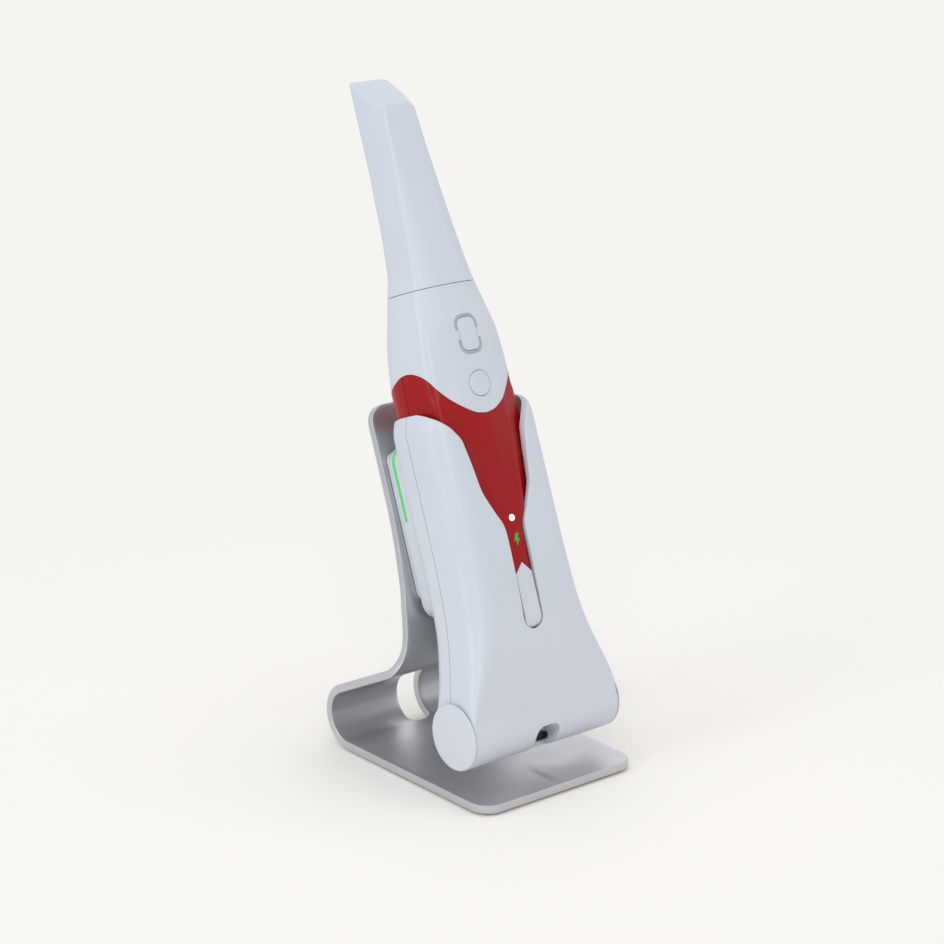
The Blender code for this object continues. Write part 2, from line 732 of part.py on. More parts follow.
def sheet_half_width(at, total, bend_end, fold_end):
    """Half width of the sheet at a length along it, with its round corners."""
    upright = UPRIGHT_WIDTH / 2
    neck = NECK_WIDTH / 2
    half = blend([(bend_end, BASE_WIDTH / 2), ((bend_end + fold_end) / 2, BASE_WIDTH / 2 - .003),
                  (fold_end - .006, neck + .0062), (fold_end + .006, neck),
                  (fold_end + .020, upright + .0028),
                  (fold_end + .048, upright + .0001), (fold_end + .060, upright)], at)[0]
    if at < BASE_CORNER:
        half -= BASE_CORNER - math.sqrt(max(BASE_CORNER ** 2 - (BASE_CORNER - at) ** 2, 0))
    left = total - at
    if left < UPRIGHT_CORNER:
        half -= UPRIGHT_CORNER - math.sqrt(max(UPRIGHT_CORNER ** 2 - (UPRIGHT_CORNER - left) ** 2, 0))
    return half


def make_stand(whole, cradle):
    """The bent sheet with its cable slot, screw holes and pad pockets."""
    points, lengths, bend_end, fold_end = sheet_path()
    mesh = bmesh.new()
    rows = []
    for (y, z), at in zip(points, lengths):
        half = sheet_half_width(at, lengths[-1], bend_end, fold_end)
        rows.append([mesh.verts.new((side * half, y, z)) for side in (-1, 1)])
    for low, high in zip(rows, rows[1:]):
        mesh.faces.new((low[0], low[1], high[1], high[0]))
    stand = from_bmesh(mesh)
    solid = stand.modifiers.new("sheet", "SOLIDIFY")
    solid.thickness = SHEET
    solid.offset = 0
    solid.use_even_offset = True
    cut(stand, cable_slot_cutter(), whole)
    for place in screw_places():
        hole = rod(SCREW_RADIUS + GAP, .012, (0, UPRIGHT_V + SHEET / 2, place), "Y", 16)
        cut(stand, hole, cradle)
    for x, y in pad_places():
        pocket = rod(PAD_RADIUS + GAP, 2 * PAD_POCKET, (x, y, BASE_LOW), segments=24)
        cut(stand, pocket, whole)
    finish_part(stand, "stand_plate", whole, (ALUMINIUM, 0.35, 1.0))


def cable_slot_cutter():
    """A body that follows the back bend and has half-round ends."""
    half = CABLE_SLOT_WIDTH / 2
    middle = BASE_LOW + SHEET / 2
    centre = (BEND_REACH, middle + BEND_RADIUS + SHEET / 2)
    bend = BEND_RADIUS + SHEET / 2
    low, high = -math.pi / 2, math.radians(62)
    length = (high - low) * bend
    stops = [0.02, 0.25, 0.6, 1.0]
    ends = [half * stop for stop in stops]
    places = ends + spread(half, length - half, 9)[1:-1] + [length - end for end in reversed(ends)]
    rings = []
    for at in places:
        near = min(at, length - at)
        width = half if near >= half else math.sqrt(half ** 2 - (half - near) ** 2)
        angle = low + at / bend
        ring = []
        for side, radius in ((-1, bend - SHEET), (1, bend - SHEET), (1, bend + SHEET), (-1, bend + SHEET)):
            ring.append((side * width, centre[0] + radius * math.cos(angle),
                         centre[1] + radius * math.sin(angle)))
        rings.append(ring)
    return loft(rings)


def pad_places():
    """Centres of the foot pads under the base."""
    side = BASE_WIDTH / 2 - PAD_INSET
    return [(x, y) for x in (-side, side) for y in (PAD_INSET, BEND_REACH - PAD_INSET)]


def make_pads(whole):
    """Four rubber pads in their pockets."""
    look = (BLACK, 0.9, 0.0)
    names = ("front_left", "back_left", "front_right", "back_right")
    for name, (x, y) in zip(names, pad_places()):
        pad = rod(PAD_RADIUS, PAD_THICKNESS - GAP, (x, y, (PAD_THICKNESS - GAP) / 2), segments=20)
        finish_part(pad, "foot_pad_" + name, whole, look)


def scanner_slice(low, high, inset):
    """A block cut to the scanner's inner form, so that it reaches the walls."""
    piece = block(low, high)
    heights = spread(max(low[2] - .004, TAIL_U + .003), high[2] + .004, 8)
    limit = as_cutter(scanner_body(heights, inset), None)
    return piece, limit


def fitted(low, high, inset, parent):
    """A block intersected with the scanner's form at an inset."""
    piece, limit = scanner_slice(low, high, inset)
    limit.parent = parent
    return boolean(piece, limit, "INTERSECT")


def make_dock(cradle):
    """The dock's two shells and its end caps."""
    outer = dock_body()
    hollow = as_cutter(dock_body(DOCK_WALL, RIM_U + .004), cradle)
    behind = as_cutter(block((-.06, -GAP / 2, -.03), (.06, .05, .13)), cradle)
    before = as_cutter(block((-.06, -.05, -.03), (.06, GAP / 2, .13)), cradle)
    opening = as_cutter(plate([cutout_outline()], .02, -.015), cradle)
    notch = as_cutter(plate([notch_outline(0)], .020, -.0101), cradle)
    ends = []
    for side in (-1, 1):
        place = (side * BARREL_WIDTH / 2, 0, 0)
        recess = rod(BARREL_RADIUS - CAP_RIM, 2 * (CAP_THICKNESS + GAP), place, "X", 40)
        ends.append(as_cutter(recess, cradle))
    white = (WHITE, 0.35, 0.0)
    back = bpy.data.objects.new("back", outer.data.copy())
    PARTS.objects.link(back)
    for shell, half in ((outer, behind), (back, before)):
        boolean(shell, hollow, "DIFFERENCE")
        boolean(shell, half, "DIFFERENCE")
        for recess in ends:
            boolean(shell, recess, "DIFFERENCE")
    boolean(outer, opening, "DIFFERENCE")
    boolean(outer, notch, "DIFFERENCE")
    for place in screw_places():
        cut(back, rod(STUD_RADIUS + GAP, .010, (0, DOCK_BACK, place), "Y", 20), cradle)
    above = loft([[(x, v, u) for v, u in rim_outline()] for x in (-.04, .04)])
    cut(back, above, cradle)
    finish_part(outer, "dock_front_shell", cradle, white)
    finish_part(back, "dock_rear_shell", cradle, white)
    for name, side in (("dock_cap_left", -1), ("dock_cap_right", 1)):
        place = (side * (BARREL_WIDTH / 2 - CAP_THICKNESS / 2), 0, 0)
        cap = rod(BARREL_RADIUS - CAP_RIM - GAP, CAP_THICKNESS, place, "X", 40)
        round_edges(cap, .0003, 1)
        finish_part(cap, name, cradle, white)


def grown(outline, amount):
    """A closed outline with its sides moved outwards."""
    turn = sum(a[0] * b[1] - a[1] * b[0] for a, b in zip(outline, outline[1:] + outline[:1]))
    amount = amount if turn > 0 else -amount
    moved = []
    for index, here in enumerate(outline):
        before, after = outline[index - 1], outline[(index + 1) % len(outline)]
        normals = []
        for first, second in ((before, here), (here, after)):
            size = math.dist(first, second)
            normals.append(((second[1] - first[1]) / size, (first[0] - second[0]) / size))
        total = (normals[0][0] + normals[1][0], normals[0][1] + normals[1][1])
        scale = amount * 2 / (total[0] ** 2 + total[1] ** 2)
        moved.append((here[0] + total[0] * scale, here[1] + total[1] * scale))
    return moved


def notch_outline(margin):
    """Arched outline of the cable notch under the barrel's front."""
    half = NOTCH_WIDTH / 2 - margin
    top = -NOTCH_TOP - margin
    points = [(half, -.02)]
    for index in range(9):
        angle = math.pi * index / 8
        points.append((half * math.cos(angle), top - half + half * math.sin(angle)))
    points.append((-half, -.02))
    return points


def make_dock_inside(cradle):
    """The seat for the scanner's tail, its pins, and what the cable plugs into."""
    floor = block((-.04, -.03, FLOOR_LOW), (.04, .03, FLOOR_TOP))
    boolean(floor, as_cutter(dock_body(DOCK_WALL + GAP, .060), cradle), "INTERSECT")
    seat_heights = [TAIL_U - SEAT_GAP] + [TAIL_U + step for step in (.0006, .0028, .009, .014)]
    seat = [scanner_ring(max(u, TAIL_U), -SEAT_GAP, lambda v, u=u: u) for u in seat_heights]
    cut(floor, loft(seat), cradle)
    board_v = DOCK_BOARD_V
    for side in (-1, 1):
        hole = rod(PIN_RADIUS + BUTTON_GAP, .020, (side * PIN_PITCH / 2, 0, FLOOR_LOW), segments=16)
        cut(floor, hole, cradle)
    finish_part(floor, "dock_floor", cradle, (WHITE, 0.5, 0.0))

    holder = block((-.0075, -.0028, FLOOR_LOW - .0058), (.0075, .0028, FLOOR_LOW - GAP))
    for side in (-1, 1):
        well = rod(PIN_RADIUS + .0009, .004, (side * PIN_PITCH / 2, 0, FLOOR_LOW - GAP - .0009), segments=16)
        cut(holder, well, cradle)
        bore = rod(PIN_RADIUS + BUTTON_GAP, .010, (side * PIN_PITCH / 2, 0, FLOOR_LOW - .002), segments=16)
        cut(holder, bore, cradle)
    finish_part(holder, "contact_block", cradle, (BLACK, 0.6, 0.0))
    for name, side in (("charge_pin_left", -1), ("charge_pin_right", 1)):
        top = TAIL_U - GAP
        flange = FLOOR_LOW - GAP - .0010
        profile = [(0, top), (PIN_RADIUS * .6, top), (PIN_RADIUS, top - .0005), (PIN_RADIUS, flange + .0006),
                   (PIN_RADIUS + .0006, flange + .0006), (PIN_RADIUS + .0006, flange),
                   (PIN_RADIUS, flange), (PIN_RADIUS, flange - .0010), (0, flange - .0010)]
        pin = turned(profile, (side * PIN_PITCH / 2, 0, 0), steps=16)
        finish_part(pin, name, cradle, (GOLD, 0.25, 1.0))

    board_top = FLOOR_LOW - .0058 - GAP
    board = block((-.024, board_v, -.0090), (.024, board_v + BOARD, board_top))
    finish_part(board, "dock_board", cradle, (BOARD_GREEN, 0.5, 0.0))

    recess = plate([notch_outline(GAP)], .014, board_v - GAP - .007)
    boolean(recess, as_cutter(dock_body(.0004), cradle), "INTERSECT")
    pocket = plate([notch_outline(GAP + RECESS_WALL)], .020, board_v - GAP - RECESS_WALL - .010)
    cut(recess, pocket, cradle)
    socket_width, socket_height, socket_u = .0062, .0032, -.0077
    outline = [(x, u + socket_u) for u, x in stadium(socket_height, socket_width, 0)]
    cut(recess, plate([grown(outline, GAP)], .020, board_v - .004), cradle)
    finish_part(recess, "cable_recess", cradle, (WHITE, 0.5, 0.0))
    socket = plate([outline], .0046, board_v - GAP - .0023)
    mouth = grown(outline, -.0005)
    cut(socket, plate([mouth], .004, board_v - GAP - .0046 - .0006), cradle)
    finish_part(socket, "charge_socket", cradle, (BLACK, 0.4, 0.0))


def screw_places():
    """Heights of the fixings that hold the receiver to the upright and the dock."""
    return (RECEIVER_LOW + .015, RECEIVER_TOP - .015)


def light_outline(width, margin):
    """Outline of the light strip: up the left side and round the top corner."""
    side = -RECEIVER_WIDTH / 2
    top = RECEIVER_TOP
    corner = RECEIVER_CORNER
    hub = (side + corner, top - corner)
    outer, inner = [], []
    for reach, path in ((corner + .002 * (margin > 0), outer), (corner - width - margin, inner)):
        path.append((hub[0] - reach, LIGHT_LOW - margin))
        for index in range(7):
            angle = math.pi - math.pi / 2 * index / 6
            path.append((hub[0] + reach * math.cos(angle), hub[1] + reach * math.sin(angle)))
        path.append((hub[0] + LIGHT_HOOK + margin, hub[1] + reach))
    return outer + list(reversed(inner))


def make_receiver(cradle):
    """The slab behind the dock: case, cover, board, light strip and its screws."""
    low, high = RECEIVER_LOW, RECEIVER_TOP
    outline = rounded_box(RECEIVER_WIDTH, low, high, RECEIVER_CORNER)
    case = plate([outline], CASE_DEPTH, CASE_V + CASE_DEPTH / 2)
    for place in screw_places():
        stud = rod(STUD_RADIUS, .0040, (0, CASE_V, place), "Y", 20)
        boolean(case, as_cutter(stud, cradle), "UNION")
    inner = rounded_box(RECEIVER_WIDTH - 2 * RECEIVER_WALL - 2 * LIGHT_DEPTH, low + RECEIVER_WALL,
                        high - RECEIVER_WALL - LIGHT_DEPTH, RECEIVER_CORNER - RECEIVER_WALL)
    cut(case, plate([inner], .010, CASE_V + RECEIVER_WALL + .005), cradle)
    for place in screw_places():
        post = rod(SCREW_RADIUS + .0014, CASE_DEPTH - RECEIVER_WALL + .0004,
                   (0, CASE_V + CASE_DEPTH / 2 + RECEIVER_WALL / 2 - .0002, place), "Y", 16)
        boolean(case, as_cutter(post, cradle), "UNION")
        hole = rod(SCREW_RADIUS + GAP, .0044, (0, CASE_V + CASE_DEPTH, place), "Y", 16)
        cut(case, hole, cradle)
    light_v = CASE_V + .0004 + LIGHT_WIDTH / 2 + GAP
    cut(case, plate([light_outline(LIGHT_DEPTH, GAP)], LIGHT_WIDTH + 2 * GAP, light_v), cradle)
    finish_part(case, "receiver_case", cradle, (WHITE, 0.4, 0.0))

    light = plate([light_outline(LIGHT_DEPTH, 0)], LIGHT_WIDTH, light_v)
    finish_part(light, "receiver_light", cradle, ((0.05, 0.55, 0.10), 0.3, 0.0))

    cover = plate([rounded_box(RECEIVER_WIDTH - .0016, COVER_LOW, high - .0016, RECEIVER_CORNER - .0005)],
                  COVER_DEPTH, COVER_V + COVER_DEPTH / 2)
    for place in screw_places():
        cut(cover, rod(SCREW_RADIUS + GAP, .010, (0, COVER_V, place), "Y", 16), cradle)
    finish_part(cover, "receiver_cover", cradle, (WHITE, 0.4, 0.0))

    board_v = CASE_V + RECEIVER_WALL + GAP
    reach = RECEIVER_WIDTH / 2 - RECEIVER_WALL - LIGHT_DEPTH - RECEIVER_BOARD_CLEAR
    board = block((-reach, board_v, low + .0055), (reach, board_v + BOARD, high - .0075))
    for place in screw_places():
        cut(board, rod(SCREW_RADIUS + .0014 + GAP, .010, (0, board_v, place), "Y", 16), cradle)
    finish_part(board, "receiver_board", cradle, (BOARD_GREEN, 0.5, 0.0))

    back = UPRIGHT_V + SHEET + GAP
    for name, place in zip(("mount_screw_lower", "mount_screw_upper"), screw_places()):
        profile = [(0, .0012), (SCREW_RADIUS * 1.3, .0011), (SCREW_RADIUS * 2, .0005), (SCREW_RADIUS * 2, 0),
                   (SCREW_RADIUS, 0), (SCREW_RADIUS, -.0066), (0, -.0066)]
        screw = turned([(r, -h) for r, h in reversed(profile)], (0, back, place), "Y", 16)
        finish_part(screw, name, cradle, (STEEL, 0.3, 1.0))


def front_at(u):
    """The v of the scanner's front centre line."""
    return blend(STATIONS, u)[0]


def strip_body(low, high, half_width, proud, depth, tip, margin=0.0):
    """A strip that follows the ridge, pointed at the top and round at the bottom."""
    rings = []
    places = [low - margin, low + half_width * .12, low + half_width * .4, low + half_width]
    places += spread(low + half_width, high - tip, 5)[1:] + [high - tip * .5, high - tip * .08 + margin]
    for u in places:
        rise = min(max(u - low, 0), half_width)
        wide = half_width * math.sqrt(max(1 - (1 - rise / half_width) ** 2, .02))
        if u > high - tip:
            wide = half_width * (1 - .92 * (u - (high - tip)) / tip)
        wide += margin
        top = front_at(u) - proud - (.002 if margin else 0)
        rings.append([(-wide, top, u), (wide, top, u), (wide, front_at(u) + depth + margin, u),
                      (-wide, front_at(u) + depth + margin, u)])
    return loft(rings)


def bolt_outline(height):
    """A small lightning sign."""
    shape = [(-.10, 1.0), (.42, 1.0), (.12, .58), (.50, .58), (-.22, -.0), (.0, .42), (-.42, .42)]
    return [(x * height * .62, CHARGE_U - height / 2 + y * height) for x, y in shape]


def make_handle(scanner):
    """The red shells, the white nose housing and their small inlays."""
    outer = scanner_body(handle_heights(SEAM_U - GAP / 2))
    inner_low = TAIL_U + HANDLE_WALL
    inner_heights = [inner_low, inner_low + .0010, inner_low + .0035, inner_low + .009]
    inner_heights += spread(RIDGE_END_U + .006, SEAM_U + .010, 15)
    hollow = as_cutter(scanner_body(inner_heights, HANDLE_WALL), scanner)
    above = as_cutter(parting_block(-GAP / 2, .08), scanner)
    below = as_cutter(parting_block(GAP / 2, -.14), scanner)
    behind = as_cutter(block((-.06, -GAP / 2, -.03), (.06, .05, .18)), scanner)
    before = as_cutter(block((-.06, -.05, -.03), (.06, GAP / 2, .18)), scanner)
    shells = [outer]
    for name in ("back", "nose"):
        copy = bpy.data.objects.new(name, outer.data.copy())
        PARTS.objects.link(copy)
        shells.append(copy)
    front, back, nose = shells
    for shell, tools in ((front, (above, behind)), (back, (above, before)), (nose, (below,))):
        boolean(shell, hollow, "DIFFERENCE")
        for tool in tools:
            boolean(shell, tool, "DIFFERENCE")

    half = INLAY_WIDTH / 2
    inlay_low, inlay_sink = RIDGE_END_U + .0012, INLAY_THICKNESS - INLAY_PROUD
    pocket = strip_body(inlay_low, INLAY_TIP_U, half, .001, inlay_sink, .0045, GAP)
    cut(front, pocket, scanner)
    sign_v = front_at(CHARGE_U)
    cut(front, plate([grown(bolt_outline(CHARGE_HEIGHT), GAP)], .004, sign_v - .001), scanner)
    light_v = front_at(STATUS_U)
    cut(front, rod(STATUS_RADIUS, .004, (0, light_v - .0008, STATUS_U), "Y", 20), scanner)
    for side in (-1, 1):
        for shell in (front, back):
            hole = rod(CONTACT_RADIUS + GAP, .006, (side * PIN_PITCH / 2, 0, TAIL_U), segments=20)
            cut(shell, hole, scanner)
    scan = stadium(SCAN_WIDTH + 2 * BUTTON_GAP, SCAN_LENGTH + 2 * BUTTON_GAP, SCAN_U)
    cut(nose, plate([scan], .012, -.0155), scanner)
    channel = plate(ring_outlines(GAP), .008, -.0155)
    cut(channel, scanner_body(skin_heights(), RING_DEPTH), scanner)
    cut(nose, channel, scanner)
    cut(nose, rod(POWER_RADIUS + BUTTON_GAP, .012, (0, -.0155, POWER_U), "Y", 32), scanner)
    red = (RED, 0.38, 0.0)
    finish_part(front, "handle_front_shell", scanner, red)
    finish_part(back, "handle_rear_shell", scanner, red)
    finish_part(nose, "nose_housing", scanner, (WHITE, 0.35, 0.0))

    inlay = strip_body(inlay_low, INLAY_TIP_U, half, INLAY_PROUD, inlay_sink, .0045)
    finish_part(inlay, "tail_inlay", scanner, (WHITE, 0.35, 0.0))
    green = ((0.05, 0.55, 0.10), 0.3, 0.0)
    sign = plate([bolt_outline(CHARGE_HEIGHT)], .0007, sign_v + .0004)
    finish_part(sign, "charge_sign", scanner, green)
    light = rod(STATUS_RADIUS - GAP, .0008, (0, light_v + .0004 + GAP, STATUS_U), "Y", 20)
    finish_part(light, "status_light", scanner, ((0.90, 0.90, 0.90), 0.3, 0.0))
    for name, side in (("tail_contact_left", -1), ("tail_contact_right", 1)):
        place = (side * PIN_PITCH / 2, 0, TAIL_U + .0001 + HANDLE_WALL / 2)
        contact = rod(CONTACT_RADIUS, HANDLE_WALL, place, segments=20)
        finish_part(contact, name, scanner, (GOLD, 0.25, 1.0))


def ring_outlines(margin):
    """The two outlines of the channel round the scan button."""
    inner = .0005 + 2 * BUTTON_GAP - 2 * margin
    outer = .0005 + 2 * BUTTON_GAP + 2 * RING_WIDTH + 2 * margin
    return [stadium(SCAN_WIDTH + .0006 + outer, SCAN_LENGTH + .0006 + outer, SCAN_U),
            stadium(SCAN_WIDTH + .0006 + inner, SCAN_LENGTH + .0006 + inner, SCAN_U)]


def skin_heights():
    """Heights of the rings around the buttons."""
    return spread(POWER_U - .010, SCAN_U + .012, 9)


def make_buttons(scanner):
    """Buttons with a flange behind the wall, and the brackets round the scan button."""
    grey = ((0.32, 0.34, 0.37), 0.45, 0.0)
    proud = as_cutter(scanner_body(skin_heights(), -BUTTON_PROUD), scanner)
    flush = as_cutter(scanner_body(skin_heights(), -.0001), scanner)
    under = as_cutter(scanner_body(skin_heights(), RING_DEPTH - GAP), scanner)
    for name, side in (("scan_ring_lower", -1), ("scan_ring_upper", 1)):
        bracket = plate(ring_outlines(0), .0070, -.0155)
        boolean(bracket, flush, "INTERSECT")
        boolean(bracket, under, "DIFFERENCE")
        edge = SCAN_U + side * RING_OPENING / 2
        low, high = (edge, .20) if side < 0 else (.05, edge)
        cut(bracket, block((-.02, -.03, low), (.02, 0, high)), scanner)
        finish_part(bracket, name, scanner, grey)
    shapes = (("scan_button", [stadium(SCAN_WIDTH, SCAN_LENGTH, SCAN_U)],
               [stadium(SCAN_WIDTH + 2 * BUTTON_FLANGE, SCAN_LENGTH - .0012, SCAN_U)], SCAN_U),
              ("power_button", [circle(POWER_RADIUS, POWER_U)],
               [circle(POWER_RADIUS + BUTTON_FLANGE, POWER_U)], POWER_U))
    for name, cap, flange, centre in shapes:
        carrier = empty(name + "_carrier", scanner, Matrix.Translation((0, 0, centre)))
        button = plate(cap, .0060, FLANGE_V - .0030)
        boolean(button, proud, "INTERSECT")
        base = plate(flange, .0009, FLANGE_V + .00025)
        boolean(button, as_cutter(base, scanner), "UNION")
        finish_part(button, name, scanner, (WHITE, 0.4, 0.0))
        button.parent = carrier
        button.matrix_parent_inverse = Matrix.Translation((0, 0, -centre))


def circle(radius, centre_u, count=32):
    """Outline of a circle in x and u."""
    angles = [2 * math.pi * (k + .5) / count for k in range(count)]
    return [(radius * math.cos(angle), centre_u + radius * math.sin(angle)) for angle in angles]


def make_inside(scanner):
    """Frame, battery, boards, switches, heat sink and optics."""
    reach = HANDLE_WALL + GAP
    frame = fitted((-.03, FRAME_V, RIDGE_END_U + .004), (.03, FRAME_V + BOARD, FRAME_TOP), reach, scanner)
    finish_part(frame, "inner_frame", scanner, (BLACK, 0.7, 0.0))
    cell_v = FRAME_V + BOARD + GAP + BATTERY_RADIUS
    cell = rod(BATTERY_RADIUS, BATTERY_LENGTH, (0, cell_v, BATTERY_U + BATTERY_LENGTH / 2), segments=32)
    round_edges(cell, .0006, 2)
    finish_part(cell, "battery", scanner, ((0.05, 0.12, 0.30), 0.5, 0.0))
    board_v = FRAME_V - GAP - BOARD
    green = (BOARD_GREEN, 0.5, 0.0)
    board = block((-.0085, board_v, RIDGE_END_U + .006), (.0085, board_v + BOARD, PEAK_U - .0185))
    finish_part(board, "main_board", scanner, green)
    panel = block((-.0085, board_v, PEAK_U - .0175), (.0085, board_v + BOARD, SCAN_U + .006))
    finish_part(panel, "button_board", scanner, green)
    for name, centre in (("scan_switch", SCAN_U), ("power_switch", POWER_U)):
        switch = block((-.0025, SWITCH_V, centre - .0025), (.0025, board_v - GAP, centre + .0025))
        round_edges(switch, .0003, 1)
        finish_part(switch, name, scanner, (BLACK, 0.5, 0.0))
    make_heat_sink(scanner)

    plate_low = FRAME_TOP + GAP
    camera = fitted((-.03, FRAME_V, plate_low), (.03, .0090, plate_low + BOARD), reach, scanner)
    finish_part(camera, "camera_board", scanner, green)
    inside = NOSE_INSET + NOSE_WALL + GAP
    optics_low = plate_low + BOARD + GAP
    optics = fitted((-.03, FRAME_V, optics_low), (.03, .0080, SEAM_U), inside, scanner)
    for side, name in ((-1, "camera_lens"), (1, "projector_lens")):
        place = (side * LENS_PITCH / 2, LENS_V, optics_low)
        bore = rod(LENS_RADIUS + GAP, .060, place, segments=28)
        cut(optics, bore, scanner)
        top = LENS_TOP if side < 0 else LENS_TOP - .003
        low = optics_low + GAP
        profile = [(0, top - .0010), (LENS_RADIUS * .62, top - .0004), (LENS_RADIUS * .72, top),
                   (LENS_RADIUS, top), (LENS_RADIUS, low), (0, low)]
        lens = turned(profile, (place[0], LENS_V, 0), steps=28)
        finish_part(lens, name, scanner, (BLACK, 0.25, 0.0))
    finish_part(optics, "optics_block", scanner, (ALUMINIUM, 0.45, 1.0))


def make_heat_sink(scanner):
    """A finned block behind the frame."""
    low_v = FRAME_V + BOARD + GAP
    half, fins, base, tall = .0090, 7, .0012, .0110
    pitch = 2 * half / (2 * fins - 1)
    outline = [(-half, low_v)]
    for index in range(fins):
        left = -half + 2 * index * pitch
        outline += [(left, low_v + tall), (left + pitch, low_v + tall)]
        if index < fins - 1:
            outline += [(left + pitch, low_v + base), (left + 2 * pitch, low_v + base)]
    outline.append((half, low_v))
    rings = [[(x, v, u) for x, v in outline] for u in (BATTERY_U + BATTERY_LENGTH + .004, SCAN_U - .004)]
    finish_part(loft(rings), "heat_sink", scanner, (ALUMINIUM, 0.4, 1.0))


def make_nose(scanner):
    """The tube that carries the tip, its window and its seal."""
    heights = [NOSE_TUBE_LOW] + spread(SEAM_U - .0077, NOSE_TUBE_TOP, 6)
    tube = scanner_body(heights, NOSE_INSET)
    bore_heights = [NOSE_TUBE_LOW - .004] + spread(SEAM_U - .0077, NOSE_TUBE_TOP + .004, 6)
    cut(tube, scanner_body(bore_heights, NOSE_INSET + NOSE_WALL), scanner)
    seal_low, seal_high = SEAM_U + .0050, SEAM_U + .0070
    groove = scanner_body([seal_low - GAP, seal_high + GAP], NOSE_INSET - .0010)
    cut(groove, scanner_body([seal_low - .002, seal_high + .002], NOSE_INSET + .0006), scanner)
    cut(tube, groove, scanner)
    finish_part(tube, "nose_tube", scanner, (WHITE, 0.4, 0.0))
    seal = scanner_body([seal_low, seal_high], TIP_WALL + GAP)
    cut(seal, scanner_body([seal_low - .002, seal_high + .002], NOSE_INSET + .0006 - GAP), scanner)
    finish_part(seal, "nose_seal", scanner, (BLACK, 0.8, 0.0))
    glass = scanner_body([NOSE_TUBE_TOP - .0016, NOSE_TUBE_TOP - .0004], NOSE_INSET + NOSE_WALL + GAP)
    finish_part(glass, "nose_window", scanner, (GLASS, 0.05, 0.0))


def face_level(v, sink=0.0):
    """Height of the tip's sloped end face, moved down by an amount."""
    return TIP_FACE_U + v * math.tan(TIP_SLOPE) - sink


def tip_rings(low, inset, sinks):
    """Rings of the tip: level ones, then ones that lean into the sloped face."""
    level = TIP_FACE_U - .0200
    rings = [scanner_ring(u, inset) for u in low]
    first = sinks[0][0]
    for share in (.0, .35, .7):
        section = level + share * .010

        def height(v, share=share):
            return level * (1 - share) + face_level(v, first) * share
        rings.append(scanner_ring(section, inset, height))
    for sink, extra in sinks:
        rings.append(scanner_ring(TIP_FACE_U - .004, inset + extra,
                                  lambda v, sink=sink: face_level(v, sink)))
    return rings


def make_tip(tip):
    """The removable tip with its window and the mirror in its sloped end."""
    low = SEAM_U + GAP / 2
    outer = loft(tip_rings(spread(low, SEAM_U + .0430, 7), 0, [(.0013, 0), (.0004, .0003), (0, .0011)]))
    wall = TIP_WALL / math.cos(TIP_SLOPE)
    inner = tip_rings(spread(low - .004, SEAM_U + .0430, 6), TIP_WALL, [(wall, 0)])
    cut(outer, loft(inner), tip)
    centre = WINDOW_U
    low, high = centre - WINDOW_LENGTH / 2, centre + WINDOW_LENGTH / 2
    opening = plate([rounded_box(WINDOW_WIDTH, low, high, .002)], .010, TIP_BACK + .001)
    cut(outer, opening, tip)
    finish_part(outer, "scan_tip", tip, (WHITE, 0.35, 0.0))
    back = wall + GAP / math.cos(TIP_SLOPE)
    thick = MIRROR_THICKNESS / math.cos(TIP_SLOPE)
    rings = []
    for sink in (back + thick, back):
        rings.append(scanner_ring(TIP_FACE_U - .004, TIP_WALL + GAP,
                                  lambda v, sink=sink: face_level(v, sink)))
    finish_part(loft(rings), "tip_mirror", tip, ((0.85, 0.87, 0.90), 0.03, 1.0))


def main():
    """Builds every piece."""
    clear_scene()
    turn = Matrix.Translation((0, BARREL_Y, BARREL_Z)) @ Matrix.Rotation(-LEAN, 4, "X")
    whole = empty("whole", None, Matrix.Translation((0, -OVERALL_DEPTH / 2, 0)))
    cradle = empty("cradle", whole, turn)
    scanner = empty("scanner_carrier", cradle)
    tip = empty("tip_carrier", scanner)
    make_stand(whole, cradle)
    make_pads(whole)
    make_dock(cradle)
    make_dock_inside(cradle)
    make_receiver(cradle)
    make_handle(scanner)
    make_buttons(scanner)
    make_inside(scanner)
    make_nose(scanner)
    make_tip(tip)


main()
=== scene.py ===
"""Looks of the intraoral scanner in its charging dock on a bent sheet stand.

Cradle frame: the scanner and its dock lean back about the dock's foot barrel. In it a point is
(x, v, u): v runs to the back, so fronts have negative v, and u runs up along the scanner.
"""
import math

import bmesh
import bpy
import numpy as np
from bpy.props import FloatProperty, FloatVectorProperty, PointerProperty
from mathutils import Matrix, Vector
from mathutils.geometry import delaunay_2d_cdt


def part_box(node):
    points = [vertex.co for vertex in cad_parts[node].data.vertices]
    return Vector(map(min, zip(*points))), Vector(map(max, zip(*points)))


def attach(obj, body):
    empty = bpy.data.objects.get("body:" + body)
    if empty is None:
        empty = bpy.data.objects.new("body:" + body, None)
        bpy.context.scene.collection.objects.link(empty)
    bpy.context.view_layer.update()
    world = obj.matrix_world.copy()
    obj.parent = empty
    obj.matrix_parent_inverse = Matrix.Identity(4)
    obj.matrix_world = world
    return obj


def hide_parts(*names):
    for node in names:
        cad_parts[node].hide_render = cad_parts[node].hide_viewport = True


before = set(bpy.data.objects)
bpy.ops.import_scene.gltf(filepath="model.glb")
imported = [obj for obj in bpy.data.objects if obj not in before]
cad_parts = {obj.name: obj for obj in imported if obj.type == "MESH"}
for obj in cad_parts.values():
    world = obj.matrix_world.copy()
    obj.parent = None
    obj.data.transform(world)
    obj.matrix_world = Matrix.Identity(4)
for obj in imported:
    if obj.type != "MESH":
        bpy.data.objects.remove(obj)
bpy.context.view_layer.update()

bl_info = {
    "name": "Intraoral scanner in its dock",
    "version": (1, 0, 0),
    "blender": (4, 5, 0),
    "location": "View3D > Sidebar > Scanner",
    "description": "Builds the visible shells, the stand and the studio round the packed model",
    "category": "Add Mesh",
}

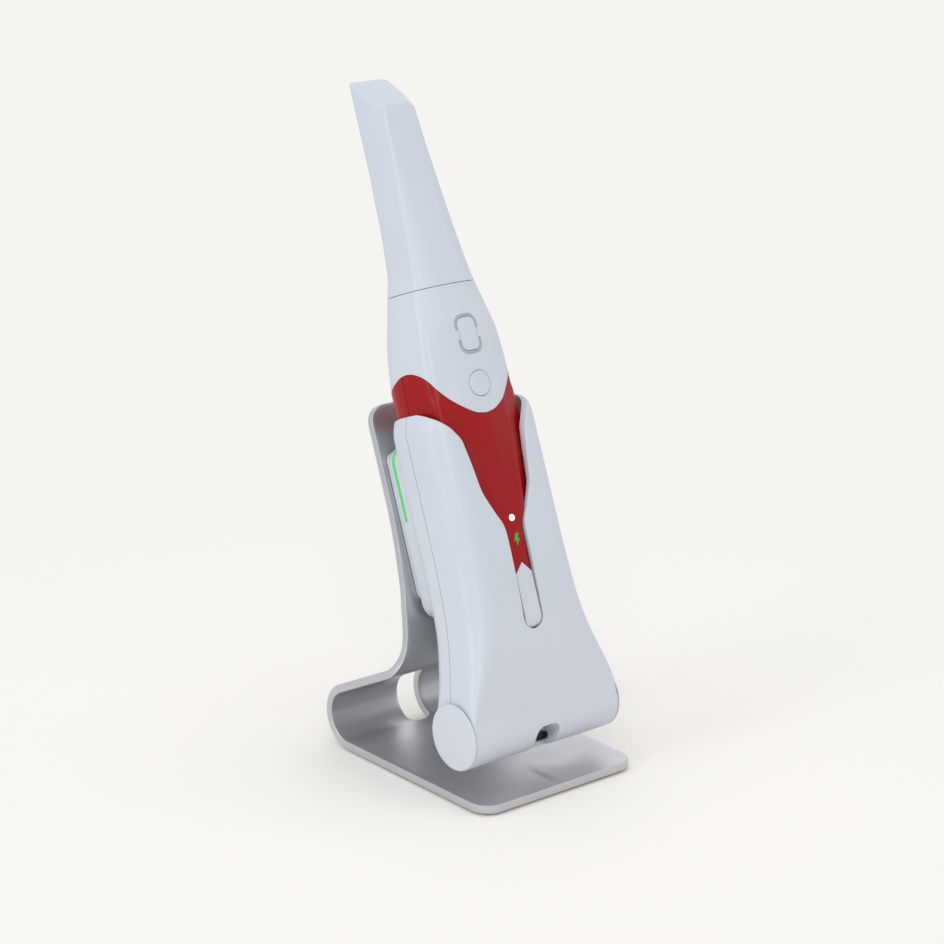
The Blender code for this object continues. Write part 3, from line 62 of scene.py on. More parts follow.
# Cradle
LEAN = math.radians(20.5)
BARREL_Y = -0.0345
BARREL_Z = 0.0233
CRADLE = Matrix.Translation((0, BARREL_Y, BARREL_Z)) @ Matrix.Rotation(-LEAN, 4, "X")
SCANNER_BODY = "dock_and_handle"

# Stand
STAND_FRONT = -0.0535
SHEET = 0.003
BASE_LOW = 0.0008
BASE_WIDTH = 0.070
BASE_CORNER = 0.0075
BEND_REACH = 0.0772
BEND_RADIUS = 0.0092
RAMP_ANGLE = math.radians(25.8)
FOLD_RADIUS = 0.007
NECK_WIDTH = 0.047
UPRIGHT_WIDTH = 0.0366
UPRIGHT_TOP = 0.117
UPRIGHT_CORNER = 0.0065
UPRIGHT_V = 0.0256
CABLE_SLOT_WIDTH = 0.0097
CABLE_SLOT_TURN = math.radians(62)
SCREW_PLACES = (0.054, 0.0862)
SCREW_HOLE = 0.0013
PAD_RADIUS, PAD_HEIGHT, PAD_CHAMFER, PAD_DISH = 0.0045, 0.0011, 0.0003, 0.00012
SCREW_HEAD, HEAD_HEIGHT, HEAD_GAP, SOCKET_DEPTH = 0.0020, 0.0012, 0.0003, 0.0006
SHANK_RADIUS, SHANK_LENGTH = 0.0010, 0.0066

# Scanner
TAIL_U = 0.0150
TAIL_DROP = 0.0072
RIDGE_END_U = 0.0302
WAIST_U = 0.058
PEAK_U = 0.1243
SEAM_U = 0.1517
TIP_NARROW_U = SEAM_U + 0.0430
TIP_END_U = 0.2272
HALF_GRIP = 0.021
GRIP_FRONT = 0.0165
GRIP_BACK = 0.0163
HANDLE_WALL = 0.0018
TIP_WALL = 0.0016
TIP_SLOPE = math.radians(39.5)
TIP_FACE_U = 0.2212
SCAN_U = 0.1336
SCAN_HALF, SCAN_LENGTH, SCAN_CORNER = 0.0036, 0.0058, 0.0024
POWER_U = 0.1161
POWER_RADIUS = 0.0044
TIP_WINDOW_U, TIP_WINDOW_WIDTH = 0.2165, 0.0112
TIP_WINDOW_LENGTH, TIP_WINDOW_CORNER = 0.0150, 0.0020
STATUS_U = 0.0687
LIGHT_RADIUS, LIGHT_HOLE = 0.00114, 0.00122
CHARGE_U = 0.0609
INLAY_LOW, INLAY_TOP, INLAY_HALF = 0.0300, 0.0530, 0.0034

# Dock
DOCK_WALL = 0.0020
DOCK_HALF = 0.0242
DOCK_FRONT = 0.0174
DOCK_BACK = 0.0189
RIM_U = 0.1103
SHOULDER_U = 0.0985
BARREL_RADIUS = 0.0118
BARREL_HALF = 0.0335
CAP_THICK = 0.0013
NOTCH_HALF, NOTCH_TOP, NOTCH_CORNER = 0.0052, -0.0042, 0.0034
SLAB_HALF, SLAB_LOW, SLAB_HIGH, SLAB_CORNER = 0.0170, 0.0390, 0.1012, 0.0062
SLAB_BACK = 0.0232
STRIP_V = (0.0199, 0.0214)
STRIP_END_X, STRIP_END_U = -0.0075, 0.0742
SLOT_HALF = 0.0042
SLOT_END_U = 0.0298


# ---------------------------------------------------------------- settings

class StandSettings(bpy.types.PropertyGroup):
    """Sizes of the stand, its pads and its screws."""
    edge_round: FloatProperty(
        name="Edge round", description="Radius broken on the sheet's cut edges",
        default=0.0004, min=0.00005, max=0.001, unit="LENGTH", precision=5)
    pad_radius: FloatProperty(
        name="Pad radius", description="Radius of a foot pad",
        default=PAD_RADIUS, min=0.002, max=0.008, unit="LENGTH", precision=5)
    pad_height: FloatProperty(
        name="Pad height", description="Height of a foot pad",
        default=PAD_HEIGHT, min=0.0005, max=0.003, unit="LENGTH", precision=5)
    screw_head: FloatProperty(
        name="Screw head", description="Radius of a fixing screw's head",
        default=SCREW_HEAD, min=0.001, max=0.004, unit="LENGTH", precision=5)


class DockSettings(bpy.types.PropertyGroup):
    """Sizes of the dock's shells."""
    rim_round: FloatProperty(
        name="Rim round", description="Radius on the outer edge of the dock's rim",
        default=0.0004, min=0.0001, max=0.0009, unit="LENGTH", precision=5)
    seam_round: FloatProperty(
        name="Seam round", description="Radius on the shells' edges at their seams",
        default=0.00008, min=0.00002, max=0.0003, unit="LENGTH", precision=5)
    seam_gap: FloatProperty(
        name="Seam gap", description="Gap that shows between two shells",
        default=0.0003, min=0.0001, max=0.0005, unit="LENGTH", precision=5)


class ScannerSettings(bpy.types.PropertyGroup):
    """Sizes of the scanner's shells and buttons."""
    shell_step: FloatProperty(
        name="Shell step", description="Distance between the rows of a shell's mesh",
        default=0.0011, min=0.0005, max=0.004, unit="LENGTH", precision=5)
    button_proud: FloatProperty(
        name="Button proud", description="How far the buttons stand above the housing",
        default=0.00022, min=0.0, max=0.0006, unit="LENGTH", precision=5)
    button_gap: FloatProperty(
        name="Button gap", description="Gap round a button",
        default=0.0002, min=0.0001, max=0.0004, unit="LENGTH", precision=5)


class FinishSettings(bpy.types.PropertyGroup):
    """Colours of the finishes."""
    white: FloatVectorProperty(
        name="White plastic", description="Colour of the white shells",
        subtype="COLOR", default=(0.600, 0.632, 0.685), min=0, max=1)
    red: FloatVectorProperty(
        name="Red plastic", description="Colour of the handle",
        subtype="COLOR", default=(0.33, 0.004, 0.005), min=0, max=1)
    aluminium: FloatVectorProperty(
        name="Aluminium", description="Colour of the stand's blasted faces",
        subtype="COLOR", default=(0.545, 0.552, 0.565), min=0, max=1)
    green: FloatVectorProperty(
        name="Green light", description="Colour of the lit strip and sign",
        subtype="COLOR", default=(0.06, 0.52, 0.09), min=0, max=1)
    grey: FloatVectorProperty(
        name="Grey plastic", description="Colour of the brackets round the scan button",
        subtype="COLOR", default=(0.36, 0.39, 0.44), min=0, max=1)


class StudioSettings(bpy.types.PropertyGroup):
    """The floor, the lamps and the camera."""
    backdrop: FloatVectorProperty(
        name="Backdrop", description="Colour of the floor and the space behind",
        subtype="COLOR", default=(0.913, 0.905, 0.871), min=0, max=1)
    lens: FloatProperty(
        name="Lens", description="Focal length in millimetres",
        default=102.98, min=20, max=300)
    lamp_level: FloatProperty(
        name="Lamp level", description="Factor on all the lamps", default=1.0, min=0, max=4)


# ---------------------------------------------------------------- form tables

def blend(stations, at):
    """Reads a table of stations (place, values...) along a smooth curve."""
    table = stations if isinstance(stations, np.ndarray) else np.array(stations, float)
    if at <= table[0, 0]:
        return table[0, 1:]
    if at >= table[-1, 0]:
        return table[-1, 1:]
    index = int(np.searchsorted(table[:, 0], at, side="right")) - 1
    low, high = table[index], table[index + 1]
    span = high[0] - low[0]
    share = (at - low[0]) / span
    slope = (high[1:] - low[1:]) / span
    first, last = slope, slope
    if index > 0:
        before = table[index - 1]
        first = (low[1:] - before[1:]) / (low[0] - before[0])
    if index + 2 < len(table):
        after = table[index + 2]
        last = (after[1:] - high[1:]) / (after[0] - high[0])

    def tangent(a, b):
        total = a + b
        total[total == 0] = 1.0
        return np.where(a * b <= 0, 0.0, 2 * a * b / total)
    start, end = tangent(first.copy(), slope.copy()), tangent(last.copy(), slope.copy())
    s2, s3 = share ** 2, share ** 3
    return ((2 * s3 - 3 * s2 + 1) * low[1:] + (s3 - 2 * s2 + share) * span * start
            + (3 * s2 - 2 * s3) * high[1:] + (s3 - s2) * span * end)


def scanner_stations():
    """Rows of u, front, front beside the ridge, ridge half width and depth, its foot, the
    cheek's edge, half width, back corner and the back corner's radius."""
    ridge, tail, waist, grip, seam, tip = .0037, .0143, .0184, .021, .0150, .0083
    front, back, seam_back, seam_front = GRIP_FRONT, GRIP_BACK, .0117, .0141
    tip_front, tip_back = .0062, .0090
    deep, flank = front - .0036, front - .0021
    end = RIDGE_END_U
    rows = [
        (TAIL_U, -.0066, -.0066, .0015, -.0066, .0030, -.0065, .0066, -.0056,
         tail - .0052, tail - .0052, .0060, .003),
        (TAIL_U + .0006, -.0085, -.0085, .0018, -.0085, .0034, -.0084, .0082, -.0072,
         tail - .0034, tail - .0034, .0076, .004),
        (TAIL_U + .0028, -.0104, -.0104, .0020, -.0104, .0036, -.0103, .0098, -.0088,
         tail - .0014, tail - .0014, .0092, .005),
        (TAIL_U + .0090, -.0117, -.0117, .0020, -.0117, .0038, -.0116, .0110, -.0098,
         tail, tail, .0104, .006),
        (end - .0009, -deep, -deep, .0014, -deep, .0028, -deep, .0120, -.0104,
         tail + .0009, tail + .0009, .0112, .007),
        (end, -.0139, -deep, .0018, -.0138, .0026, -deep, .0121, -.0104,
         tail + .0010, tail + .0010, .0113, .007),
        (end + .0006, -.0149, -deep, .0024, -.0148, .0031, -.0132, .0122, -.0105,
         tail + .0011, tail + .0011, .0114, .007),
        (end + .0020, -.0156, -.0136, .0033, -.0155, .0035, -.0135, .0123, -.0106,
         tail + .0013, tail + .0013, .0116, .0075),
        (end + .0040, -.0160, -.0139, ridge - .0001, -.0159, ridge, -.0138, .0126, -.0108,
         tail + .0016, tail + .0016, .0119, .008),
        (WAIST_U - .004, -.0162, -.0143, ridge - .0001, -.0161, ridge, -.0142, .0142, -.0114,
         waist - .0006, waist - .0006, .0148, .0115),
        (WAIST_U + .006, -front, -flank, ridge, -.0163, ridge + .0003, -.0144, .0148, -.0117,
         waist + .0004, waist + .0004, back - .0009, .0125),
        (WAIST_U + .012, -front, -.0150, .0055, -.0164, .0072, -.0152, .0154, -.0125,
         grip - .0017, grip - .0017, back - .0006, .013),
        (WAIST_U + .022, -front, -.0154, .0072, -.0164, .0093, -.0150, .0161, -.0125,
         grip - .0010, grip - .0010, back - .0004, .0135),
        (SHOULDER_U - .0055, -front, -.0157, .0085, -.0161, .0107, -.0148, .0168, -.0123,
         grip - .0004, grip - .0004, back - .0002, .0145),
        (PEAK_U - .0193, -front + .0004, -.0159, .0088, -.0153, .0114, -.0142, .0172, -.0119,
         grip, grip, back - .0003, .015),
        (PEAK_U - .0053, -front + .0001, -.0160, .0087, -.0151, .0120, -.0136, .0173, -.0115,
         grip - .0001, grip - .0001, back - .0005, .0155),
        (SEAM_U - .0277, -front + .0001, -.0160, .0087, -.0151, .0124, -.0136, .0171, -.0115,
         grip - .0005, grip - .0005, back - .0009, .0155),
        (SEAM_U - .0177, -.0161, -.0159, .0082, -.0149, .0122, -.0135, .0164, -.0113,
         grip - .0018, grip - .0020, back - .0017, .014),
        (SEAM_U - .0077, -.0152, -.0152, .0074, -.0138, .0110, -.0121, .0148, -.0100,
         seam + .0020, seam + .0016, seam_back + .0009, .011),
        (SEAM_U, -seam_front, -seam_front, .0066, -.0128, .0098, -.0113, .0131, -.0093,
         seam, seam - .0004, seam_back, .009),
        (SEAM_U + .0080, -seam_front + .0010, -seam_front + .0010, .0059, -.0120, .0088, -.0107,
         .0117, -.0089, seam - .0020, seam - .0024, seam_back - .0011, .007),
        (SEAM_U + .0272, -.0108, -.0108, .0048, -.0100, .0073, -.0090, .0097, -.0077,
         tip + .0022, tip + .0020, tip_back + .0002, .004),
        (TIP_NARROW_U, -.0088, -.0088, .0041, -.0083, .0062, -.0078, .0083, -.0070,
         tip + .0007, tip + .0008, tip_back, .003),
        (TIP_END_U - .0105, -tip_front, -tip_front, .0031, -tip_front, .0046, -tip_front + .0001,
         .0062, -tip_front + .0001, tip - .0004, tip + .0003, tip_back, .0022),
        (TIP_END_U, -tip_front + .0010, -tip_front + .0010, .0028, -tip_front + .0010, .0042,
         -tip_front + .0011, .0058, -tip_front + .0011, tip - .0008, tip - .0001, tip_back, .0022),
    ]
    return np.array(rows, float)


def dock_stations():
    """Rows of u, half width, front, back, front corner radius and back corner radius."""
    foot, half = BARREL_HALF - CAP_THICK, DOCK_HALF
    return np.array([
        (0, foot, BARREL_RADIUS, BARREL_RADIUS, .0003, .0003),
        (.004, foot, .0122, .0119, .0009, .0012),
        (.0095, foot - .0006, .0133, .0120, .0034, .0040),
        (.0210, half + .0044, .0149, .0138, .0074, .0085),
        (.0300, half + .0024, .0158, .0152, .0096, .0110),
        (.0400, half + .0011, .0167, .0170, .0112, .0135),
        (WAIST_U, half + .0002, DOCK_FRONT, DOCK_BACK - .0003, .0122, .016),
        (RIM_U - .0070, half, DOCK_FRONT - .0002, DOCK_BACK, .0124, .017),
        (RIM_U, half - .0021, DOCK_FRONT - .0006, DOCK_BACK - .0003, .0124, .0165),
    ], float)


SCANNER = scanner_stations()
DOCK = dock_stations()
SCANNER_FULL = np.array([(RIDGE_END_U, 0), (WAIST_U, .8), (SHOULDER_U, 1), (SEAM_U + .004, 1),
                         (SEAM_U + .016, .6), (SEAM_U + .034, 0)])
DOCK_FULL = np.array([(.004, 0), (.012, .35), (.024, .55), (.040, .9), (WAIST_U, 1), (RIM_U, 1)])


def ring_plan(line_steps, corner_steps):
    """Places round half a ring: (is a corner, index, share) from the front to the back."""
    plan = []
    for k, steps in enumerate(line_steps):
        plan += [(0, k, i / steps) for i in range(steps)]
        if k < len(corner_steps):
            plan += [(1, k + 1, i / corner_steps[k]) for i in range(corner_steps[k])]
    return np.array(plan + [(0, len(line_steps) - 1, 1.0)])


def half_ring(corners, radii, plan, full=0.0, most=.45):
    """Points of half a ring in x and v, with rounded corners, at the plan's places.

    The back corner's curve takes up more and more of its two sides as full goes from 0 to 1.
    A corner's curve takes up no more than a share of its sides.
    """
    corners = np.array(corners, float)
    starts, ends = corners.copy(), corners.copy()
    used = 0.0
    for k in range(1, len(corners) - 1):
        into, out = corners[k] - corners[k - 1], corners[k + 1] - corners[k]
        size_in, size_out = np.hypot(*into), np.hypot(*out)
        turn = abs(math.atan2(into[0] * out[1] - into[1] * out[0], into @ out))
        reach = min(radii[k] * math.tan(turn / 2), most * size_in, most * size_out)
        before = after = reach
        if k == len(corners) - 2:
            before += (.97 * (size_in - used) - reach) * full
            after += (.95 * size_out - reach) * full
        starts[k] = corners[k] - into / size_in * before
        ends[k] = corners[k] + out / size_out * after
        used = reach
    index = plan[:, 1].astype(int)
    share = plan[:, 2][:, None]
    after = np.minimum(index + 1, len(corners) - 1)
    line = ends[index] * (1 - share) + starts[after] * share
    bend = ((1 - share) ** 2 * starts[index] + 2 * share * (1 - share) * corners[index]
            + share ** 2 * ends[index])
    return np.where(plan[:, :1] > 0, bend, line)


def inset_corners(corners, amount):
    """Moves the sides of a half outline inwards."""
    moved = []
    whole = [(-corners[1][0], corners[1][1])] + list(corners) + [(-corners[-2][0], corners[-2][1])]
    for before, here, after in zip(whole, whole[1:], whole[2:]):
        normals = []
        for first, second in ((before, here), (here, after)):
            along = (second[0] - first[0], second[1] - first[1])
            size = math.hypot(*along)
            normals.append((-along[1] / size, along[0] / size))
        total = (normals[0][0] + normals[1][0], normals[0][1] + normals[1][1])
        scale = amount * 2 / (total[0] ** 2 + total[1] ** 2)
        moved.append((here[0] + total[0] * scale, here[1] + total[1] * scale))
    moved[0] = (0.0, moved[0][1])
    moved[-1] = (0.0, moved[-1][1])
    return moved


SCANNER_PLAN = ring_plan((5, 3, 5, 8, 8, 9), (3, 4, 7, 5, 14))
DOCK_PLAN = ring_plan((22, 16, 15, 12), (12, 2, 16))


def scanner_ring(u, inset, plan=SCANNER_PLAN):
    """Half a ring of the scanner, in x, v and u. An inset ring has no ridge."""
    if u < TAIL_U:
        share = max(1 - (TAIL_U - u) / .0075, .03)
        ring = scanner_ring(TAIL_U, inset, plan)
        ring[:, :2] *= share
        return ring
    front, core, fx, fv, gx, gv, ax, av, half, back_half, back, radius = blend(SCANNER, u)
    if inset > 0:
        front = core
        fv = core + (gv - core) * (fx / gx) ** 2
    corners = [(0, front), (fx, fv), (gx, gv), (ax, av), (half, 0), (back_half, back), (0, back)]
    if inset:
        corners = inset_corners(corners, inset)
    soft = min(max((u - PEAK_U + .012) / .010, 0), 1)
    soft *= 1 - .6 * min(max((u - SEAM_U) / .03, 0), 1)
    radii = [0, .0006 + .02 * soft, .0012 + .02 * soft, .003 + .012 * soft, .02,
             max(radius - inset, .001), 0]
    if inset > 0:
        radii[1:3] = [.004, .004]
    ring = half_ring(corners, radii, plan, float(blend(SCANNER_FULL, u)[0]))
    return np.column_stack([ring, np.full(len(ring), u)])


def dock_ring(w, inset, plan=DOCK_PLAN):
    """Half a ring of the dock. Below zero w is the way down round the barrel."""
    if w < 0:
        angle = -w / BARREL_RADIUS
        depth = (BARREL_RADIUS - inset) * math.cos(angle)
        u = -(BARREL_RADIUS - inset) * math.sin(angle)
        half, front, back = BARREL_HALF - CAP_THICK - inset, depth, depth
        corner = back_corner = min(.0003, depth * .4)
    else:
        u = w
        inset *= 1 + .35 * min(max((w - .078) / .012, 0), 1)
        half, front, back, corner, back_corner = blend(DOCK, w)
        half, front, back = half - inset, front - inset, back - inset
        if inset and w > WAIST_U:
            half = max(half, HALF_GRIP + .0004)
        corner, back_corner = max(corner - inset, .0008), max(back_corner - inset, .0008)
    corners = [(0, -front), (half, -front), (half, 0), (half, back), (0, back)]
    full = float(blend(DOCK_FULL, max(w, 0))[0])
    ring = half_ring(corners, [0, corner, .001, back_corner, 0], plan, full, .45 + .3 * full)
    return np.column_stack([ring, np.full(len(ring), u)])


class Skin:
    """A wall's outer and inner face over a flat plan: q runs round from the front, w runs up."""

    def __init__(self, ring, outer=0.0, inner=0.0018, plan=SCANNER_PLAN):
        self.ring, self.outer, self.inner, self.plan = ring, outer, inner, plan
        self.rows = {}

    def row(self, w):
        """Outer ring, inner ring and the running length round the true ring at one height."""
        key = round(w, 8)
        if key not in self.rows:
            true = self.ring(w, 0.0, self.plan)
            steps = np.linalg.norm(np.diff(true[:, :2], axis=0), axis=1)
            run = np.concatenate([[0.0], np.cumsum(steps)])
            outer = self.ring(w, self.outer, self.plan) if self.outer else true
            self.rows[key] = (outer, self.ring(w, self.inner, self.plan), run)
        return self.rows[key]

    def place(self, q, w, inside=False):
        """One point of the outer or inner face, in the cradle frame."""
        outer, inner, run = self.row(w)
        at = float(np.interp(q, run, np.arange(len(run))))
        ring = inner if inside else outer
        low = min(int(at), len(ring) - 2)
        return ring[low] + (ring[low + 1] - ring[low]) * (at - low)

    def columns(self, w):
        """Running lengths of the plan's places at one height."""
        return self.row(w)[2]

    def length(self, w):
        """Running length from the front centre to the back centre."""
        return self.row(w)[2][-1]

    def across(self, x, w):
        """Running length at which the front half reaches a distance from the middle."""
        true = self.ring(w, 0.0, self.plan)
        widest = int(np.argmax(true[:, 0]))
        return float(np.interp(x, true[:widest + 1, 0], self.row(w)[2][:widest + 1]))

    def depth(self, v, w):
        """Running length at which the side reaches a depth v."""
        true = self.ring(w, 0.0, self.plan)
        return float(np.interp(v, true[:, 1], self.row(w)[2]))


# ---------------------------------------------------------------- shells

WELD = 0.0
WELD_REACH = 0.000002


def inward_places(outline):
    """The outline moved inwards by each edge's rounding. An edge belongs to its first point."""
    moved = []
    count = len(outline)
    for index in range(count):
        before, here, after = outline[index - 1], outline[index], outline[(index + 1) % count]
        normals = []
        for first, second in ((before, here), (here, after)):
            size = math.hypot(second[0] - first[0], second[1] - first[1])
            normals.append(((first[1] - second[1]) / size, (second[0] - first[0]) / size))
        d0, d1 = before[2], here[2]
        (a, b), (c, d) = normals
        det = a * d - b * c
        if abs(det) < .15:
            shift = ((a + c) / 2 * (d0 + d1) / 2, (b + d) / 2 * (d0 + d1) / 2)
        else:
            shift = ((d0 * d - b * d1) / det, (a * d1 - d0 * c) / det)
        reach = math.hypot(*shift)
        limit = 1.6 * max(d0, d1)
        scale = min(1.0, limit / reach) if reach else 1.0
        moved.append((here[0] + shift[0] * scale, here[1] + shift[1] * scale))
    return moved


def inside_outline(points, outline):
    """Which points lie inside a closed outline."""
    x, y = points[:, 0], points[:, 1]
    found = np.zeros(len(points), bool)
    x0, y0 = outline[:, 0], outline[:, 1]
    x1, y1 = np.roll(x0, -1), np.roll(y0, -1)
    for a, b, c, d in zip(x0, y0, x1, y1):
        if b != d:
            cross = (b > y) != (d > y)
            found ^= cross & (x < (c - a) * (y - b) / (d - b) + a)
    return found


def clear_of_outline(points, outline):
    """Distance of each point from a closed outline."""
    best = np.full(len(points), 1e9)
    ends = np.roll(outline, -1, axis=0)
    for start, end in zip(outline, ends):
        along = end - start
        size = along @ along
        t = np.clip((points - start) @ along / size, 0, 1) if size else np.zeros(len(points))
        gap = np.linalg.norm(points - start - t[:, None] * along, axis=1)
        best = np.minimum(best, gap)
    return best


def shell_half(skin, outline, heights, steps, inner_round=None, margin=.0003):
    """Half a closed wall: its points in the cradle frame and its faces, marked 1 on an edge."""
    edge = np.array(inward_places(outline))
    true = np.array([(q, w) for q, w, _ in outline])
    lips = [lip for _, _, lip in outline]
    spots = []
    for w in heights:
        spots += [(q, w) for q in skin.columns(w)]
    spots = np.array(spots)
    low, high = edge.min(0), edge.max(0)
    near = ((spots > low) & (spots < high)).all(1)
    spots = spots[near]
    spots = spots[inside_outline(spots, edge)]
    spots = spots[clear_of_outline(spots, edge) > margin]
    flat = np.vstack([edge, spots])
    count = len(edge)
    pairs = [(i, (i + 1) % count) for i in range(count)]
    found, _, faces, origin, _, _ = delaunay_2d_cdt(
        [Vector(p) * 1000 for p in flat], pairs, [], 0, 1e-5)
    source = [o[0] if o else -1 for o in origin]
    middles = np.array([np.mean([found[i] for i in f], axis=0) / 1000 for f in faces])
    keep = inside_outline(middles, edge)
    triangles = []
    for face, kept in zip(faces, keep):
        ids = [source[i] for i in face]
        if kept and -1 not in ids and len(set(ids)) == 3:
            a, b, c = (flat[i] for i in ids)
            turn = (b[0] - a[0]) * (c[1] - a[1]) - (b[1] - a[1]) * (c[0] - a[0])
            triangles.append(ids if turn > 0 else ids[::-1])
    points = [skin.place(q, w) for q, w in flat]
    total = len(points)
    lip_at = [max(lips[i - 1], lips[i]) for i in range(count)]
    inner_lip = [min(lip, inner_round if inner_round is not None else lip) for lip in lip_at]
    share = [b / a if a else 0 for a, b in zip(lip_at, inner_lip)]
    inner_edge = true + (edge - true) * np.array(share)[:, None]
    points += [skin.place(q, w, True) for q, w in inner_edge]
    points += [skin.place(q, w, True) for q, w in spots]
    faces = [(tuple(t), 0) for t in triangles]
    faces += [((t[2] + total, t[1] + total, t[0] + total), 0) for t in triangles]
    angles = [math.pi / 2 * (k + 1) / steps for k in range(steps)]
    chains = []
    for i in range(count):
        if not lip_at[i]:
            chains.append(None)
            continue
        chain = [i]
        for angle in angles:
            q, w = edge[i] + (true[i] - edge[i]) * math.sin(angle)
            outer, inner = skin.place(q, w), skin.place(q, w, True)
            down = (inner - outer) / np.linalg.norm(inner - outer)
            chain.append(len(points))
            points.append(outer + down * lip_at[i] * (1 - math.cos(angle)))
        for angle in reversed(angles[:-1] + [math.pi / 2]):
            q, w = inner_edge[i] + (true[i] - inner_edge[i]) * math.sin(angle)
            outer, inner = skin.place(q, w), skin.place(q, w, True)
            up = (outer - inner) / np.linalg.norm(inner - outer)
            chain.append(len(points))
            points.append(inner + up * inner_lip[i] * (1 - math.cos(angle)))
        chain.append(i + total)
        chains.append(chain)
    for i in range(count):
        after = (i + 1) % count
        if lips[i] and chains[i] and chains[after]:
            for a, b, c, d in zip(chains[i], chains[after], chains[after][1:], chains[i][1:]):
                faces.append(((b, a, d, c), 1))
    return points, faces


def mesh_from(name, points, faces, matrix=CRADLE):
    """A mesh of the half wall and its mirrored half, welded in the middle."""
    mesh = bmesh.new()
    for side in (1, -1):
        made = [mesh.verts.new(matrix @ Vector((p[0] * side, p[1], p[2]))) for p in points]
        for ids, mark in faces:
            corners = [made[i] for i in (ids if side > 0 else ids[::-1])]
            if len(set(corners)) < 3:
                continue
            mesh.faces.new(corners).material_index = mark
    bmesh.ops.remove_doubles(mesh, verts=mesh.verts, dist=WELD_REACH)
    bmesh.ops.dissolve_degenerate(mesh, edges=mesh.edges, dist=WELD_REACH / 4)
    loose = [v for v in mesh.verts if not v.link_faces]
    bmesh.ops.delete(mesh, geom=loose, context="VERTS")
    return kept_mesh(mesh, name)


def kept_mesh(mesh, name):
    """A bmesh as a mesh."""
    data = bpy.data.meshes.new(name)
    mesh.to_mesh(data)
    mesh.free()
    return data


def outward_mesh(mesh, name):
    """A closed bmesh as a mesh, with its faces turned outwards."""
    bmesh.ops.recalc_face_normals(mesh, faces=mesh.faces)
    return kept_mesh(mesh, name)


def cradle_vert(mesh, x, v, u):
    """A vertex at a place of the cradle frame."""
    return mesh.verts.new(CRADLE @ Vector((x, v, u)))


def skin_rows(mesh, rows, flip=False):
    """Faces between closed rings that have the same number of points."""
    for low, high in zip(rows, rows[1:]):
        for k in range(len(low)):
            after = (k + 1) % len(low)
            corners = (low[k], low[after], high[after], high[k])
            mesh.faces.new(corners[::-1] if flip else corners)


def skin_closed(mesh, rows):
    """A closed body through rings, with a flat face on its first and last ring."""
    skin_rows(mesh, rows)
    mesh.faces.new(rows[0][::-1])
    mesh.faces.new(rows[-1])


def linked(name, data):
    """A mesh as an object of the scene."""
    made = bpy.data.objects.new(name, data)
    bpy.context.scene.collection.objects.link(made)
    return made


def new_piece(name, data, body, nodes, looks, angle=28):
    """Links a finished mesh as a piece that rides on a body and stands for its CAD nodes."""
    piece = linked(name, data)
    data.materials.clear()
    for finish in looks:
        data.materials.append(finish)
    for face in data.polygons:
        face.material_index = min(face.material_index, len(looks) - 1)
    data.shade_smooth()
    data.set_sharp_from_angle(angle=math.radians(angle))
    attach(piece, body)
    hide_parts(*nodes)
    return piece


def body_piece(name, mesh, slot, node, *looks):
    """A piece of the dock and handle from a bmesh, for one node."""
    return new_piece(name, outward_mesh(mesh, name), SCANNER_BODY, [node], looks)


def spaced(low, high, step):
    """Evenly spaced values about a step apart, both ends included."""
    count = max(int(round(abs(high - low) / step)), 1)
    return [low + (high - low) * i / count for i in range(count + 1)]


def mark_edge(points, lip):
    """An outline stretch whose edges all have one rounding."""
    return [(q, w, lip) for q, w in points]


def middle_line(high, low, step):
    """The welded middle line between two heights, without its ends."""
    return [(0.0, w, WELD) for w in spaced(high, low, step)[1:-1]]


def front_notch(skin, points, lip):
    """A hole's right half, in x and u from its top to its bottom, as an outline stretch."""
    return mark_edge([(skin.across(x, u) if x > 1e-7 else 0.0, u) for x, u in points], lip)


def stadium_side(half_width, half_length, centre, steps=14):
    """The right half of a slot's outline with round ends, from its top to its bottom."""
    reach = half_length - half_width
    points = []
    for start, shift in ((math.pi / 2, reach), (0, -reach)):
        for k in range(steps + 1):
            angle = start - math.pi / 2 * k / steps
            points.append((half_width * math.cos(angle),
                           centre + shift + half_width * math.sin(angle)))
    points[0] = (0.0, points[0][1])
    points[-1] = (0.0, points[-1][1])
    return points


def button_side(grow=0.0, steps=7):
    """The right half of the scan button's rounded outline, from its top to its bottom."""
    half, length, corner = SCAN_HALF, SCAN_LENGTH, SCAN_CORNER
    reach = corner + grow
    side = [(0.0, SCAN_U + length + grow), ((half - corner) / 2, SCAN_U + length + grow)]
    for start, middle in ((math.pi / 2, length - corner), (0, corner - length)):
        for k in range(steps + 1):
            angle = start - math.pi / 2 * k / steps
            side.append((half - corner + reach * math.cos(angle),
                         SCAN_U + middle + reach * math.sin(angle)))
        if start:
            side += [(half + grow, SCAN_U + u) for u in spaced(middle, -middle, .0009)[1:-1]]
    return side + [((half - corner) / 2, SCAN_U - length - grow), (0.0, SCAN_U - length - grow)]


def tidy_outline(outline, least=.00004):
    """Drops points that repeat the one before."""
    kept = []
    for point in outline:
        if kept and math.hypot(point[0] - kept[-1][0], point[1] - kept[-1][1]) < least:
            kept[-1] = (kept[-1][0], kept[-1][1], point[2])
            continue
        kept.append(point)
    if math.hypot(kept[0][0] - kept[-1][0], kept[0][1] - kept[-1][1]) < least:
        kept.pop()
    return kept


# ---------------------------------------------------------------- finishes

def shell_piece(name, skin, outline, heights, nodes, looks, steps=3, inner_round=None,
                margin=.0003, body=SCANNER_BODY, angle=28):
    """A wall with both its halves, cut to an outline, as a piece of the scene."""
    points, faces = shell_half(skin, tidy_outline(outline), heights, steps, inner_round, margin)
    return new_piece(name, mesh_from(name, points, faces), body, nodes, looks, angle)


